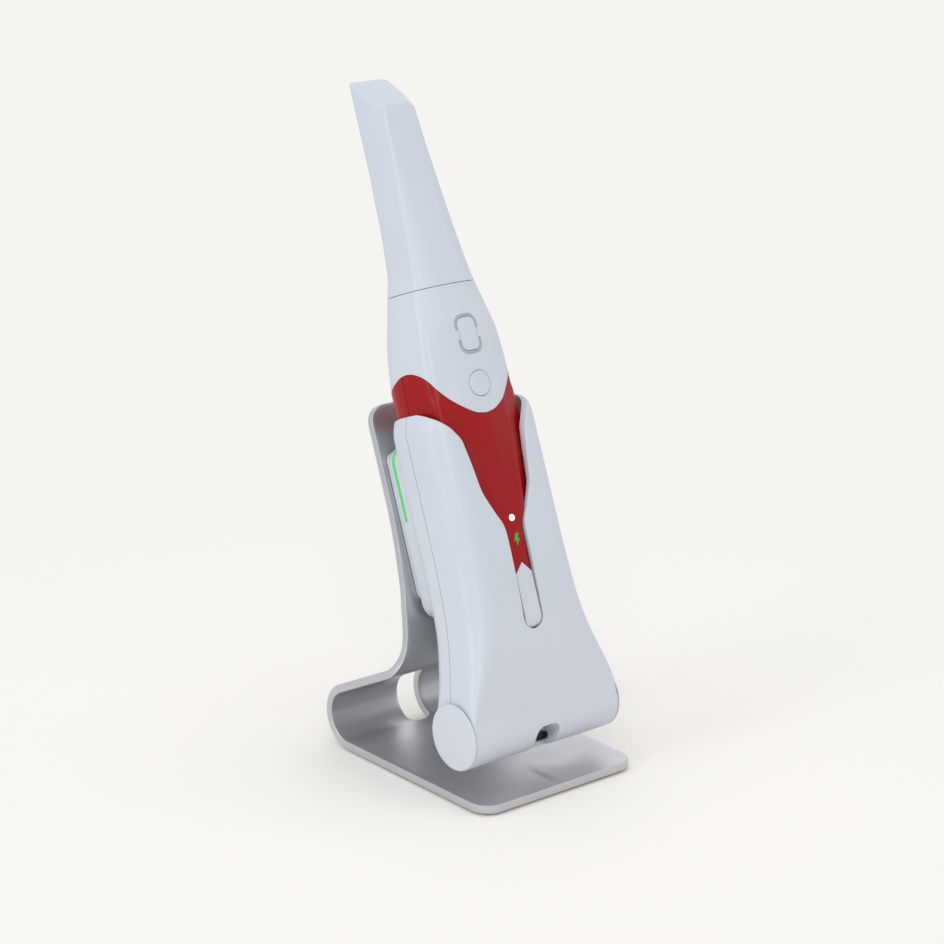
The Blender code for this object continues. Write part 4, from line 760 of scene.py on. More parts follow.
def node_material(name):
    """An empty node material with its shader and output."""
    made = bpy.data.materials.new(name)
    made.use_nodes = True
    tree = made.node_tree
    tree.nodes.clear()
    out = tree.nodes.new("ShaderNodeOutputMaterial")
    shader = tree.nodes.new("ShaderNodeBsdfPrincipled")
    tree.links.new(shader.outputs[0], out.inputs[0])
    return made, tree, shader


def noise(tree, scale, detail=2.0, roughness=0.5, stretch=None):
    """A noise texture on Object coordinates."""
    coords = tree.nodes.new("ShaderNodeTexCoord")
    made = tree.nodes.new("ShaderNodeTexNoise")
    made.inputs["Scale"].default_value = scale
    made.inputs["Detail"].default_value = detail
    made.inputs["Roughness"].default_value = roughness
    source = coords.outputs["Object"]
    if stretch:
        mapping = tree.nodes.new("ShaderNodeMapping")
        mapping.inputs["Scale"].default_value = stretch
        tree.links.new(source, mapping.inputs["Vector"])
        source = mapping.outputs[0]
    tree.links.new(source, made.inputs["Vector"])
    return made


def spread_value(tree, source, low, high, span=(.3, .7)):
    """Maps a texture's value to a range."""
    made = tree.nodes.new("ShaderNodeMapRange")
    made.inputs["From Min"].default_value = span[0]
    made.inputs["From Max"].default_value = span[1]
    made.inputs["To Min"].default_value = low
    made.inputs["To Max"].default_value = high
    tree.links.new(source, made.inputs["Value"])
    return made.outputs[0]


def tinted(tree, shader, colour, amount, scale):
    """A base colour that drifts a little lighter and darker over the surface."""
    cloud = noise(tree, scale, 3.0)
    factor = spread_value(tree, cloud.outputs["Fac"], 0.0, 1.0)
    mix = tree.nodes.new("ShaderNodeMix")
    mix.data_type = "RGBA"
    dark = [max(c * (1 - amount), 0) for c in colour]
    light = [min(c * (1 + amount), 1) for c in colour]
    mix.inputs["A"].default_value = (*dark, 1)
    mix.inputs["B"].default_value = (*light, 1)
    tree.links.new(factor, mix.inputs["Factor"])
    tree.links.new(mix.outputs["Result"], shader.inputs["Base Color"])


def textured(tree, shader, scale, strength, distance, roughness, drift, stretch=None):
    """Fine relief and a roughness that varies."""
    grain = noise(tree, scale, 3.0, .6, stretch)
    bump = tree.nodes.new("ShaderNodeBump")
    bump.inputs["Strength"].default_value = strength
    bump.inputs["Distance"].default_value = distance
    tree.links.new(grain.outputs["Fac"], bump.inputs["Height"])
    tree.links.new(bump.outputs[0], shader.inputs["Normal"])
    patch = noise(tree, 90.0, 3.0)
    rough = spread_value(tree, patch.outputs["Fac"], roughness - drift, roughness + drift)
    tree.links.new(rough, shader.inputs["Roughness"])


def plastic(name, colour, roughness=.34, grain=.05, amount=.012, sheen=0.5):
    """Moulded plastic with a fine texture from its tool."""
    made, tree, shader = node_material(name)
    tinted(tree, shader, colour, amount, 35.0)
    textured(tree, shader, 5200.0, grain, .00002, roughness, .035)
    shader.inputs["Specular IOR Level"].default_value = sheen
    return made


def metal(name, colour, roughness=.35, grain=.12, scale=6500.0, stretch=None, metallic=1.0):
    """A metal with a fine blasted or drawn surface."""
    made, tree, shader = node_material(name)
    tinted(tree, shader, colour, .03, 60.0)
    textured(tree, shader, scale, grain, .00002, roughness, .05, stretch)
    shader.inputs["Metallic"].default_value = metallic
    return made


def rubber(name, colour):
    """Matte rubber with a coarse skin."""
    made, tree, shader = node_material(name)
    tinted(tree, shader, colour, .12, 80.0)
    textured(tree, shader, 2600.0, .35, .00005, .82, .06)
    return made


def lit(name, colour, strength):
    """A light window: tinted plastic that glows a little unevenly."""
    made, tree, shader = node_material(name)
    tinted(tree, shader, colour, .05, 120.0)
    textured(tree, shader, 3000.0, .03, .00002, .35, .04)
    glow = noise(tree, 160.0, 2.0)
    tree.links.new(spread_value(tree, glow.outputs["Fac"], strength * .94, strength * 1.06),
                   shader.inputs["Emission Strength"])
    shader.inputs["Emission Color"].default_value = (*colour, 1)
    return made


def circuit(name, mask):
    """Solder mask with lighter traces and pads."""
    made, tree, shader = node_material(name)
    coords = tree.nodes.new("ShaderNodeTexCoord")
    cells = tree.nodes.new("ShaderNodeTexBrick")
    cells.inputs["Scale"].default_value = 320.0
    cells.inputs["Color1"].default_value = (*mask, 1)
    cells.inputs["Color2"].default_value = (.016, .150, .075, 1)
    cells.inputs["Mortar"].default_value = (.030, .220, .110, 1)
    cells.inputs["Mortar Size"].default_value = .03
    mapping = tree.nodes.new("ShaderNodeMapping")
    mapping.inputs["Rotation"].default_value = (math.pi / 2 + LEAN, 0, 0)
    tree.links.new(coords.outputs["Object"], mapping.inputs["Vector"])
    tree.links.new(mapping.outputs[0], cells.inputs["Vector"])
    tree.links.new(cells.outputs["Color"], shader.inputs["Base Color"])
    textured(tree, shader, 2400.0, .10, .00003, .42, .06)
    return made


def optical(name, colour, roughness, clear):
    """Glass or a polished mirror with faint smears."""
    made, tree, shader = node_material(name)
    tinted(tree, shader, colour, .01, 60.0)
    textured(tree, shader, 900.0, .01, .00001, roughness, min(roughness * .5, .02))
    if clear:
        shader.inputs["Transmission Weight"].default_value = .85
        shader.inputs["IOR"].default_value = 1.5
    else:
        shader.inputs["Metallic"].default_value = 1.0
    return made


# A finish's maker, its colour or the setting that holds it, and the maker's other values.
FINISHES = {
    "white_shell": (plastic, "white"),
    "white_rim": (plastic, "white", .30, .03),
    "red_shell": (plastic, "red", .26, .04, .03, .24),
    "grey_bracket": (plastic, "grey", .42, .06, .03),
    "black_moulding": (plastic, (.022, .022, .025), .5, .2, .15),
    "lens_barrel": (plastic, (.012, .012, .014), .32, .08, .1),
    "cell_wrap": (plastic, (.02, .055, .19), .36, .10, .08),
    "blasted_sheet": (metal, "aluminium", .36, .22, 6500.0, None, .78),
    # Cut edges: near-white, bluish and not metallic, a painted highlight in place of the bare
    # metal's own reflection.
    "cut_edge": (metal, (.90, .93, .98), .30, .05, 4000.0, None, 0.0),
    "milled_block": (metal, (.55, .56, .58), .34, .2, 900.0, (1, 14, 1)),
    "plated_steel": (metal, (.52, .53, .55), .24, .06, 3000.0),
    "gold_contact": (metal, (.83, .58, .22), .22, .06, 3000.0),
    "foot_rubber": (rubber, (.03, .03, .033)),
    "seal_rubber": (rubber, (.02, .02, .022)),
    "green_window": (lit, "green", .35),
    "green_sign": (lit, (.02, .36, .015), .22),
    "white_window": (lit, (1.0, .98, .97), 1.2),
    "board": (circuit, (.010, .115, .055)),
    "window_glass": (optical, (.86, .92, .93), .04, True),
    "polished_mirror": (optical, (.86, .87, .89), .03, False),
}
MADE = {}


def look(name):
    """The finish of one name, made once."""
    if name not in MADE:
        maker, colour, *values = FINISHES[name]
        if isinstance(colour, str):
            colour = tuple(getattr(bpy.context.scene.scanner_finishes, colour))
        MADE[name] = maker(name, colour, *values)
    return MADE[name]


# ---------------------------------------------------------------- stand

class SheetPath:
    """The bent sheet's centre line: straight base, bend, ramp, fold and leaning upright."""

    def __init__(self):
        middle = BASE_LOW + SHEET / 2
        self.bend, self.fold = BEND_RADIUS + SHEET / 2, FOLD_RADIUS + SHEET / 2
        self.centre = (BEND_REACH, middle + self.bend)
        self.middle = middle
        self.top = math.pi / 2 - RAMP_ANGLE
        start = (self.centre[0] + self.bend * math.cos(self.top),
                 self.centre[1] + self.bend * math.sin(self.top))
        self.ramp = (-math.cos(RAMP_ANGLE), math.sin(RAMP_ANGLE))
        self.rise = (math.sin(LEAN), math.cos(LEAN))
        depth = UPRIGHT_V + SHEET / 2
        foot = (BARREL_Y - STAND_FRONT + depth * math.cos(LEAN), BARREL_Z - depth * math.sin(LEAN))
        cross = self.ramp[0] * self.rise[1] - self.ramp[1] * self.rise[0]
        away = (foot[0] - start[0], foot[1] - start[1])
        run = (away[0] * self.rise[1] - away[1] * self.rise[0]) / cross
        corner = (start[0] + self.ramp[0] * run, start[1] + self.ramp[1] * run)
        self.turn = math.pi - RAMP_ANGLE - (math.pi / 2 - LEAN)
        reach = self.fold * math.tan(self.turn / 2)
        self.ramp_start = start
        fold_start = (corner[0] - self.ramp[0] * reach, corner[1] - self.ramp[1] * reach)
        normal = (self.ramp[1], -self.ramp[0])
        self.hub = (fold_start[0] + normal[0] * self.fold, fold_start[1] + normal[1] * self.fold)
        self.fold_angle = math.atan2(-normal[1], -normal[0])
        end_angle = self.fold_angle - self.turn
        self.fold_end = (self.hub[0] + self.fold * math.cos(end_angle),
                         self.hub[1] + self.fold * math.sin(end_angle))
        top = (foot[0] + self.rise[0] * UPRIGHT_TOP, foot[1] + self.rise[1] * UPRIGHT_TOP)
        self.stops = [BEND_REACH]
        self.stops.append(self.stops[-1] + self.bend * (self.top + math.pi / 2))
        self.stops.append(self.stops[-1] + math.dist(start, fold_start))
        self.stops.append(self.stops[-1] + self.fold * self.turn)
        self.stops.append(self.stops[-1] + math.dist(self.fold_end, top))
        self.total = self.stops[-1]

    def at(self, w):
        """Point and direction of the centre line at a length."""
        a, b, c, d, _ = self.stops
        if w <= a:
            return (w, self.middle), (1.0, 0.0)
        if w <= b:
            angle = -math.pi / 2 + (w - a) / self.bend
            return ((self.centre[0] + self.bend * math.cos(angle),
                     self.centre[1] + self.bend * math.sin(angle)),
                    (-math.sin(angle), math.cos(angle)))
        if w <= c:
            return ((self.ramp_start[0] + self.ramp[0] * (w - b),
                     self.ramp_start[1] + self.ramp[1] * (w - b)), self.ramp)
        if w <= d:
            angle = self.fold_angle - (w - c) / self.fold
            return ((self.hub[0] + self.fold * math.cos(angle),
                     self.hub[1] + self.fold * math.sin(angle)),
                    (math.sin(angle), -math.cos(angle)))
        return ((self.fold_end[0] + self.rise[0] * (w - d),
                 self.fold_end[1] + self.rise[1] * (w - d)), self.rise)

    def half_width(self, w):
        """Half width of the sheet, with its round corners."""
        bend_end, fold_end = self.stops[1], self.stops[3]
        upright, neck = UPRIGHT_WIDTH / 2, NECK_WIDTH / 2
        half = float(blend([
            (bend_end, BASE_WIDTH / 2), ((bend_end + fold_end) / 2, BASE_WIDTH / 2 - .0034),
            (fold_end - .014, neck + .0076), (fold_end - .008, neck + .0059),
            (fold_end - .003, neck + .0036), (fold_end + .002, neck + .0013),
            (fold_end + .007, neck - .0001), (fold_end + .013, neck - .0013),
            (fold_end + .021, upright + .0023),
            (fold_end + .048, upright + .0001),
            (fold_end + .060, upright)], w)[0])
        for corner, left in ((BASE_CORNER, w), (UPRIGHT_CORNER, self.total - w)):
            if left < corner:
                half -= corner - math.sqrt(max(corner ** 2 - (corner - left) ** 2, 0))
        return half

    def upright_length(self, u):
        """Length along the sheet at a height of the cradle."""
        return self.total - (UPRIGHT_TOP - u)


class SheetSkin:
    """The bent sheet as a wall over its flat plan."""

    def __init__(self, path):
        self.path = path

    def place(self, q, w, inside=False):
        """A point of the upper or lower face."""
        (y, z), (ty, tz) = self.path.at(w)
        side = -SHEET / 2 if inside else SHEET / 2
        return np.array((q, y + STAND_FRONT - tz * side, z + ty * side))

    def columns(self, w):
        """Places across the sheet for the mesh."""
        return spaced(0, self.path.half_width(w), .0024)


def stand_outline(path, lip):
    """Half of the flat sheet's outline, with its slot and screw holes."""
    turn = [1 - math.cos(math.pi / 2 * k / 10) for k in range(11)]
    top = [path.total - UPRIGHT_CORNER * t for t in reversed(turn)]
    turn = [BASE_CORNER * t for t in turn]
    lengths = turn + spaced(BASE_CORNER, path.total - UPRIGHT_CORNER, .0016)[1:-1] + top
    outline = mark_edge([(x, 0.0) for x in spaced(0, path.half_width(0), .002)[:-1]], lip)
    outline += mark_edge([(path.half_width(w), w) for w in lengths], lip)
    outline += mark_edge([(x, path.total) for x in spaced(
        path.half_width(path.total), 0, .002)[1:-1]], lip)
    outline.append((0.0, path.total, WELD))
    for u in reversed(SCREW_PLACES):
        hole = stadium_side(SCREW_HOLE, SCREW_HOLE, path.upright_length(u), 6)
        outline += mark_edge(hole[:-1], min(lip, .00025)) + [(*hole[-1], WELD)]
    half = CABLE_SLOT_WIDTH / 2
    slot_length = (CABLE_SLOT_TURN + math.pi / 2) * path.bend
    slot = stadium_side(half, slot_length / 2, BEND_REACH + slot_length / 2, 12)
    outline += middle_line(outline[-1][1], slot[0][1], .0010)
    middle = len(slot) // 2
    walls = [(half, w) for w in spaced(slot[middle - 1][1], slot[middle][1], .0014)[1:-1]]
    slot = slot[:middle] + walls + slot[middle:]
    outline += mark_edge(slot[:-1], lip) + [(*slot[-1], WELD)]
    return tidy_outline(outline)


class SCANNER_OT_stand(bpy.types.Operator):
    """Build the bent sheet stand with its broken edges and its cable slot"""
    bl_idname = "scanner.stand"
    bl_label = "Stand sheet"

    def execute(self, context):
        sizes = context.scene.scanner_stand
        path = SheetPath()
        skin = SheetSkin(path)
        outline = stand_outline(path, sizes.edge_round)
        heights = spaced(.0012, BEND_REACH, .0024)
        heights += spaced(BEND_REACH, path.stops[1], .0009)[1:]
        heights += spaced(path.stops[1], path.stops[2], .0020)[1:]
        heights += spaced(path.stops[2], path.stops[3], .0008)[1:]
        heights += spaced(path.stops[3], path.total - .0012, .0024)[1:]
        points, faces = shell_half(skin, outline, heights, 3, margin=.0005)
        data = mesh_from("stand_sheet", points, faces, Matrix.Identity(4))
        # The sheet's cut edges carry a painted highlight: a near-white colour in place of bare
        # metal.
        new_piece("stand_sheet", data, SCANNER_BODY, ["stand_plate"],
                  [look("blasted_sheet"), look("cut_edge")])
        return {"FINISHED"}


# ---------------------------------------------------------------- repeated pieces

def new_tree(name, sizes):
    """A Geometry Nodes tree with named sizes and a finish, and the node that gives them."""
    tree = bpy.data.node_groups.new(name, "GeometryNodeTree")
    sockets = tree.interface
    sockets.new_socket("Geometry", in_out="INPUT", socket_type="NodeSocketGeometry")
    sockets.new_socket("Geometry", in_out="OUTPUT", socket_type="NodeSocketGeometry")
    for label, size in sizes.items():
        made = sockets.new_socket(label, in_out="INPUT", socket_type="NodeSocketFloat")
        made.default_value = size
    sockets.new_socket("Finish", in_out="INPUT", socket_type="NodeSocketMaterial")
    return tree, tree.nodes.new("NodeGroupInput")


def grown_mesh(tree, source_points, values, name):
    """Runs a tree on points with its named inputs set, and returns the plain mesh."""
    places = bpy.data.meshes.new(name + "_places")
    places.from_pydata(source_points, [], [])
    holder = linked(name + "_places", places)
    step = holder.modifiers.new("grow", "NODES")
    step.node_group = tree
    for item in tree.interface.items_tree:
        if item.item_type == "SOCKET" and item.in_out == "INPUT" and item.name in values:
            step[item.identifier] = values[item.name]
    bpy.context.view_layer.update()
    shown = holder.evaluated_get(bpy.context.evaluated_depsgraph_get())
    data = bpy.data.meshes.new_from_object(shown)
    holder.modifiers.clear()
    bpy.data.objects.remove(holder)
    data.name = name
    return data


def set_or_link(tree, value, socket):
    """Gives a socket a plain value or the value of another socket."""
    if isinstance(value, float):
        socket.default_value = value
    else:
        tree.links.new(value, socket)


def worked(tree, operation, *values):
    """The result of a sum on values or sockets."""
    made = tree.nodes.new("ShaderNodeMath")
    made.operation = operation
    for value, socket in zip(values, made.inputs):
        set_or_link(tree, value, socket)
    return made.outputs[0]


def disc(tree, count, radius):
    """A flat disc with a number of corners."""
    made = tree.nodes.new("GeometryNodeMeshCircle")
    made.fill_type = "NGON"
    made.inputs["Vertices"].default_value = count
    set_or_link(tree, radius, made.inputs["Radius"])
    return made.outputs["Mesh"]


def raised_steps(tree, shape, steps):
    """Extrudes a disc's face again and again: each step is a height and a scale of the new face."""
    top = None
    for height, scale in steps:
        raised = tree.nodes.new("GeometryNodeExtrudeMesh")
        raised.inputs["Individual"].default_value = False
        tree.links.new(shape, raised.inputs["Mesh"])
        if top is not None:
            tree.links.new(top, raised.inputs["Selection"])
        set_or_link(tree, height, raised.inputs["Offset Scale"])
        shape, top = raised.outputs["Mesh"], raised.outputs["Top"]
        if scale is not None:
            scaled = tree.nodes.new("GeometryNodeScaleElements")
            tree.links.new(shape, scaled.inputs["Geometry"])
            tree.links.new(top, scaled.inputs["Selection"])
            set_or_link(tree, scale, scaled.inputs["Scale"])
            shape = scaled.outputs["Geometry"]
    return shape


def pad_tree():
    """A round pad with a chamfered rim and a shallow dish, set on each point."""
    tree, given = new_tree("pad_on_points", {
        "Radius": PAD_RADIUS, "Height": PAD_HEIGHT, "Chamfer": PAD_CHAMFER})
    radius, height, chamfer = (given.outputs[name] for name in ("Radius", "Height", "Chamfer"))
    foot = worked(tree, "SUBTRACT", radius, chamfer)
    ratio = worked(tree, "DIVIDE", radius, foot)
    wall = worked(tree, "MULTIPLY_ADD", chamfer, -2.0, height)
    back = worked(tree, "DIVIDE", 1.0, ratio)
    shape = raised_steps(tree, disc(tree, 64, foot), [
        (chamfer, ratio), (wall, None), (chamfer, back), (0.0, .82), (-PAD_DISH, None)])
    finish_instances(tree, given, shape)
    return tree


def finish_instances(tree, given, shape):
    """Sets a shape on each point, realises the copies and gives them their finish."""
    nodes, links = tree.nodes, tree.links
    points = nodes.new("GeometryNodeInstanceOnPoints")
    real = nodes.new("GeometryNodeRealizeInstances")
    finish = nodes.new("GeometryNodeSetMaterial")
    out = nodes.new("NodeGroupOutput")
    links.new(given.outputs["Geometry"], points.inputs["Points"])
    links.new(shape, points.inputs["Instance"])
    links.new(points.outputs[0], real.inputs[0])
    links.new(real.outputs[0], finish.inputs["Geometry"])
    links.new(given.outputs["Finish"], finish.inputs["Material"])
    links.new(finish.outputs[0], out.inputs[0])
    return points


def screw_tree():
    """A low round screw head with a socket and its shank, set on each point."""
    tree, given = new_tree("screw_on_points", {
        "Head radius": SCREW_HEAD, "Head height": HEAD_HEIGHT, "Shank radius": SHANK_RADIUS,
        "Shank length": SHANK_LENGTH})
    head, height, radius, length = (given.outputs[name] for name in (
        "Head radius", "Head height", "Shank radius", "Shank length"))
    ratio = worked(tree, "DIVIDE", head, radius)
    rise = worked(tree, "MULTIPLY", height, .45)
    shape = raised_steps(tree, disc(tree, 48, radius), [
        (length, None), (0.0, ratio), (rise, None), (rise, .90), (0.0, .80), (0.0, .62),
        (-SOCKET_DEPTH, None)])
    points = finish_instances(tree, given, shape)
    points.inputs["Rotation"].default_value = (-math.pi / 2 - LEAN, 0, 0)
    return tree


class SCANNER_OT_fixings(bpy.types.Operator):
    """Build the four foot pads and the two fixing screws"""
    bl_idname = "scanner.fixings"
    bl_label = "Foot pads and screws"

    def execute(self, context):
        sizes = context.scene.scanner_stand
        places = []
        for name in ("front_left", "back_left", "front_right", "back_right"):
            low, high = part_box("foot_pad_" + name)
            places.append(((low.x + high.x) / 2, (low.y + high.y) / 2, 0.0))
        data = grown_mesh(pad_tree(), places, {
            "Radius": sizes.pad_radius, "Height": sizes.pad_height, "Chamfer": PAD_CHAMFER,
            "Finish": look("foot_rubber")}, "foot_pads")
        turn_out(data)
        new_piece("foot_pads", data, SCANNER_BODY,
                  ["foot_pad_front_left", "foot_pad_back_left", "foot_pad_front_right",
                   "foot_pad_back_right"], [look("foot_rubber")])
        depth = UPRIGHT_V + SHEET + HEAD_GAP - SHANK_LENGTH
        places = [tuple(CRADLE @ Vector((0, depth, u))) for u in SCREW_PLACES]
        data = grown_mesh(screw_tree(), places, {
            "Head radius": sizes.screw_head, "Head height": HEAD_HEIGHT,
            "Shank radius": SHANK_RADIUS, "Shank length": SHANK_LENGTH,
            "Finish": look("plated_steel")}, "mount_screws")
        turn_out(data)
        new_piece("mount_screws", data, SCANNER_BODY,
                  ["mount_screw_lower", "mount_screw_upper"], [look("plated_steel")])
        return {"FINISHED"}


def turn_out(data):
    """Merges a mesh's doubles and turns its faces outwards."""
    mesh = bmesh.new()
    mesh.from_mesh(data)
    bmesh.ops.remove_doubles(mesh, verts=mesh.verts, dist=0.0000005)
    bmesh.ops.recalc_face_normals(mesh, faces=mesh.faces)
    mesh.to_mesh(data)
    mesh.free()


# ---------------------------------------------------------------- dock

NOTCH_END = math.radians(88.6)
CUTOUT = np.array([
    (.0620, SLOT_HALF), (.0645, .0043), (.0668, .0047), (.0690, .0056), (.0705, .0065),
    (.0722, .0073), (.0760, .0091), (.0800, .0107), (.0840, .0114), (.0880, .0120),
    (.0920, .0127), (.0950, .0133), (.0980, .0139), (.1000, .0149), (.1015, .0160),
    (.1025, .0166), (.1035, .0174), (.1045, .0183), (.1055, .0192), (.1065, .0201),
    (.1075, .0209)])
RIM_SIDE = np.array([(.0000, RIM_U), (.0048, .1102), (.0069, .1098), (.0088, .1093), (.0102, .1088),
                     (.0113, .1083), (.0128, .1075)])


def cutout_edge(skin):
    """The cut-out's edge from the seam at the rim down to the slot's end."""
    edge = []
    for v in spaced(.00011, RIM_SIDE[-1, 0], .0007)[:-1]:
        u = float(blend(RIM_SIDE, v)[0])
        edge.append((skin.depth(-v, u), u))
    rows = spaced(CUTOUT[-1, 0], SHOULDER_U - .004, .0008)
    rows += spaced(SHOULDER_U - .004, CUTOUT[0, 0], .0010)[1:]
    for u in rows:
        edge.append((skin.across(float(blend(CUTOUT, u)[0]), u), u))
    centre = SLOT_END_U + SLOT_HALF
    for u in spaced(CUTOUT[0, 0], centre, .0014)[1:]:
        edge.append((skin.across(SLOT_HALF, u), u))
    for k in range(1, 13):
        angle = math.pi / 2 * k / 12
        x, u = SLOT_HALF * math.cos(angle), centre - SLOT_HALF * math.sin(angle)
        edge.append((skin.across(x, u) if k < 12 else 0.0, u))
    return edge


def notch_edge(skin):
    """The cable notch's edge from its top, round its arch, to the barrel's underside."""
    half, top = NOTCH_HALF, NOTCH_TOP
    edge = []
    for k in range(-1, 11):
        angle = math.pi / 2 - math.pi / 2 * max(k, 0) / 10
        x = half - NOTCH_CORNER + NOTCH_CORNER * math.cos(angle) if k >= 0 else 0.0
        u = top - NOTCH_CORNER + NOTCH_CORNER * math.sin(angle)
        w = -BARREL_RADIUS * math.asin(min(-u / BARREL_RADIUS, .9999))
        edge.append((skin.across(x, w) if x else 0.0, w))
    bottom = -BARREL_RADIUS * NOTCH_END
    for w in spaced(edge[-1][1], bottom, .0012)[1:]:
        edge.append((skin.across(half, w), w))
    return edge


class SCANNER_OT_dock(bpy.types.Operator):
    """Build the dock's shells, end caps and cable pocket, and the receiver with its light"""
    bl_idname = "scanner.dock"
    bl_label = "Dock shells"

    def execute(self, context):
        sizes = context.scene.scanner_dock
        skin = Skin(dock_ring, 0.0, DOCK_WALL, DOCK_PLAN)
        rim, seam = sizes.rim_round, sizes.seam_round
        half_gap = sizes.seam_gap / 2
        notch = notch_edge(skin)
        bottom = notch[-1][1]
        step = context.scene.scanner_shells.shell_step
        low_heights = spaced(bottom, 0, step)
        high_heights = spaced(0, RIM_U, step)[1:]
        heights = low_heights + high_heights
        outline = mark_edge([(q, bottom) for q in spaced(
            notch[-1][0], skin.depth(-.0002, bottom), .0015)[:-1]], seam)
        outline += mark_edge([(skin.depth(-half_gap, w), w) for w in heights[:-1]], seam)
        cut = cutout_edge(skin)
        outline += mark_edge(cut[:-1], rim) + [(*cut[-1], WELD)]
        outline += middle_line(cut[-1][1], notch[0][1], step)
        outline += mark_edge(notch[:-1], .0004)
        white = [look("white_shell"), look("white_rim")]
        shell_piece("dock_front", skin, outline, heights, ["dock_front_shell"],
                    white, steps=4, inner_round=.0001)

        rear = [(skin.depth(half_gap, w), w) for w in reversed(heights)]
        outline = mark_edge(rear[:-1], seam)
        outline += mark_edge([(q, bottom) for q in spaced(
            rear[-1][0], skin.length(bottom), .0015)[:-1]], seam)
        outline += [(skin.length(w), w, WELD) for w in heights[:-1]]
        rim_line = rear_rim(skin)
        outline = [p for p in outline if p[1] <= rim_line[0][1] - .0006 or p[2] != WELD]
        outline += mark_edge(rim_line, rim)
        shell_piece("dock_rear", skin, outline, heights, ["dock_rear_shell"],
                    white, steps=4, inner_round=.0005)
        for name, side in (("dock_cap_left", -1), ("dock_cap_right", 1)):
            make_cap(name, side)
        make_pocket()
        make_receiver()
        make_strip()
        return {"FINISHED"}


RIM_DROP, RIM_LEVEL, RIM_REACH, RIM_CURVE = .0040, .0005, .0194, 2.6


def rear_rim(skin):
    """The rim from the back centre to the seam, which drops towards the back."""
    columns = np.array(skin.columns(RIM_U))
    ring = dock_ring(RIM_U, 0.0)
    line = []
    for index in range(len(columns) - 1, 0, -1):
        v = ring[index][1]
        if v <= .0002:
            break
        w = RIM_U - RIM_DROP * (max(v - RIM_LEVEL, 0) / RIM_REACH) ** RIM_CURVE
        share = columns[index] / columns[-1]
        line.append((skin.length(w) * share, w))
    line[0] = (skin.length(line[0][1]), line[0][1])
    return line


def make_cap(name, side):
    """A slightly domed disc on the barrel's end, with a rounded rim and a gap line behind it."""
    radius, rim, gap = BARREL_RADIUS - .00005, .0007, .00025
    profile = [(0, .0), (.003, -.00002), (.006, -.00006), (.0090, -.00014), (radius - rim, -.00024)]
    profile += [(radius - rim + rim * math.sin(a), -.00024 - rim * (1 - math.cos(a)))
                for a in (.25, .5, .8, 1.1, 1.35, math.pi / 2)]
    profile += [(radius, gap - CAP_THICK), (radius - .0014, gap - CAP_THICK),
                (radius - .0014, -CAP_THICK), (0, -CAP_THICK)]
    count = 96
    mesh = bmesh.new()
    rings = []
    for r, h in profile:
        x = side * (BARREL_HALF + h)
        if r == 0:
            rings.append([cradle_vert(mesh, x, 0, 0)])
            continue
        rings.append([cradle_vert(mesh, x, r * math.cos(2 * math.pi * k / count),
                                  r * math.sin(2 * math.pi * k / count)) for k in range(count)])
    for low, high in zip(rings, rings[1:]):
        for k in range(count):
            after = (k + 1) % count
            a = [low[k % len(low)], low[after % len(low)]]
            b = [high[after % len(high)], high[k % len(high)]]
            corners = []
            for vert in a + b:
                if vert not in corners:
                    corners.append(vert)
            mesh.faces.new(corners)
    body_piece(name + "_disc", mesh, "white_plastic", name, look("white_shell"))


def make_pocket():
    """The pocket behind the cable notch: an arched wall with a dark plate at its end, black
    moulding round the socket that also paints the shade deep in the pocket.
    """
    half, wall, back, plate = NOTCH_HALF + .00005, .0007, -.0004, .0008
    reach = BARREL_RADIUS - DOCK_WALL + .0004
    low = -reach * .985
    shoulder, corner = NOTCH_TOP - NOTCH_CORNER, NOTCH_CORNER + .00005
    path = [(half, u, 1.0, 0.0) for u in spaced(low, shoulder, .0008)[:-1]]
    for side in (1, -1):
        for k in range(11):
            angle = math.pi / 2 * (1 - side + 2 * k / 10) / 2
            path.append((side * (half - corner) + corner * math.cos(angle),
                         shoulder + corner * math.sin(angle), math.cos(angle), math.sin(angle)))
    path += [(-half, u, -1.0, 0.0) for u in spaced(shoulder, low, .0008)[1:]]
    mesh = bmesh.new()

    def vert(x, u, v=None):
        if v is None:
            v = -math.sqrt(max(reach ** 2 - u ** 2, 0))
        return cradle_vert(mesh, x, v, u)
    rows = []
    for x, u, nx, nu in path:
        out_x, out_u = x + nx * wall, u + nu * wall
        rows.append((vert(x, u), vert(x, u, back - plate), vert(out_x, out_u),
                     vert(out_x, out_u, back)))
    for here, after in zip(rows, rows[1:]):
        mesh.faces.new((here[0], here[1], after[1], after[0]))
        mesh.faces.new((here[2], after[2], after[3], here[3]))
        mesh.faces.new((here[0], after[0], after[2], here[2]))
    first, last = rows[0], rows[-1]
    # The end plate is black moulding: partly the socket's own wall, partly painted shade for the
    # pocket's dark depth.
    end = mesh.faces.new([row[1] for row in rows])
    end.material_index = 1
    mesh.faces.new([row[3] for row in reversed(rows)])
    mesh.faces.new((first[0], first[2], first[3], first[1]))
    mesh.faces.new((last[0], last[1], last[3], last[2]))
    mesh.faces.new((first[1], first[3], last[3], last[1]))
    body_piece("cable_pocket", mesh, "white_plastic", "cable_recess",
               look("white_shell"), look("black_moulding"))


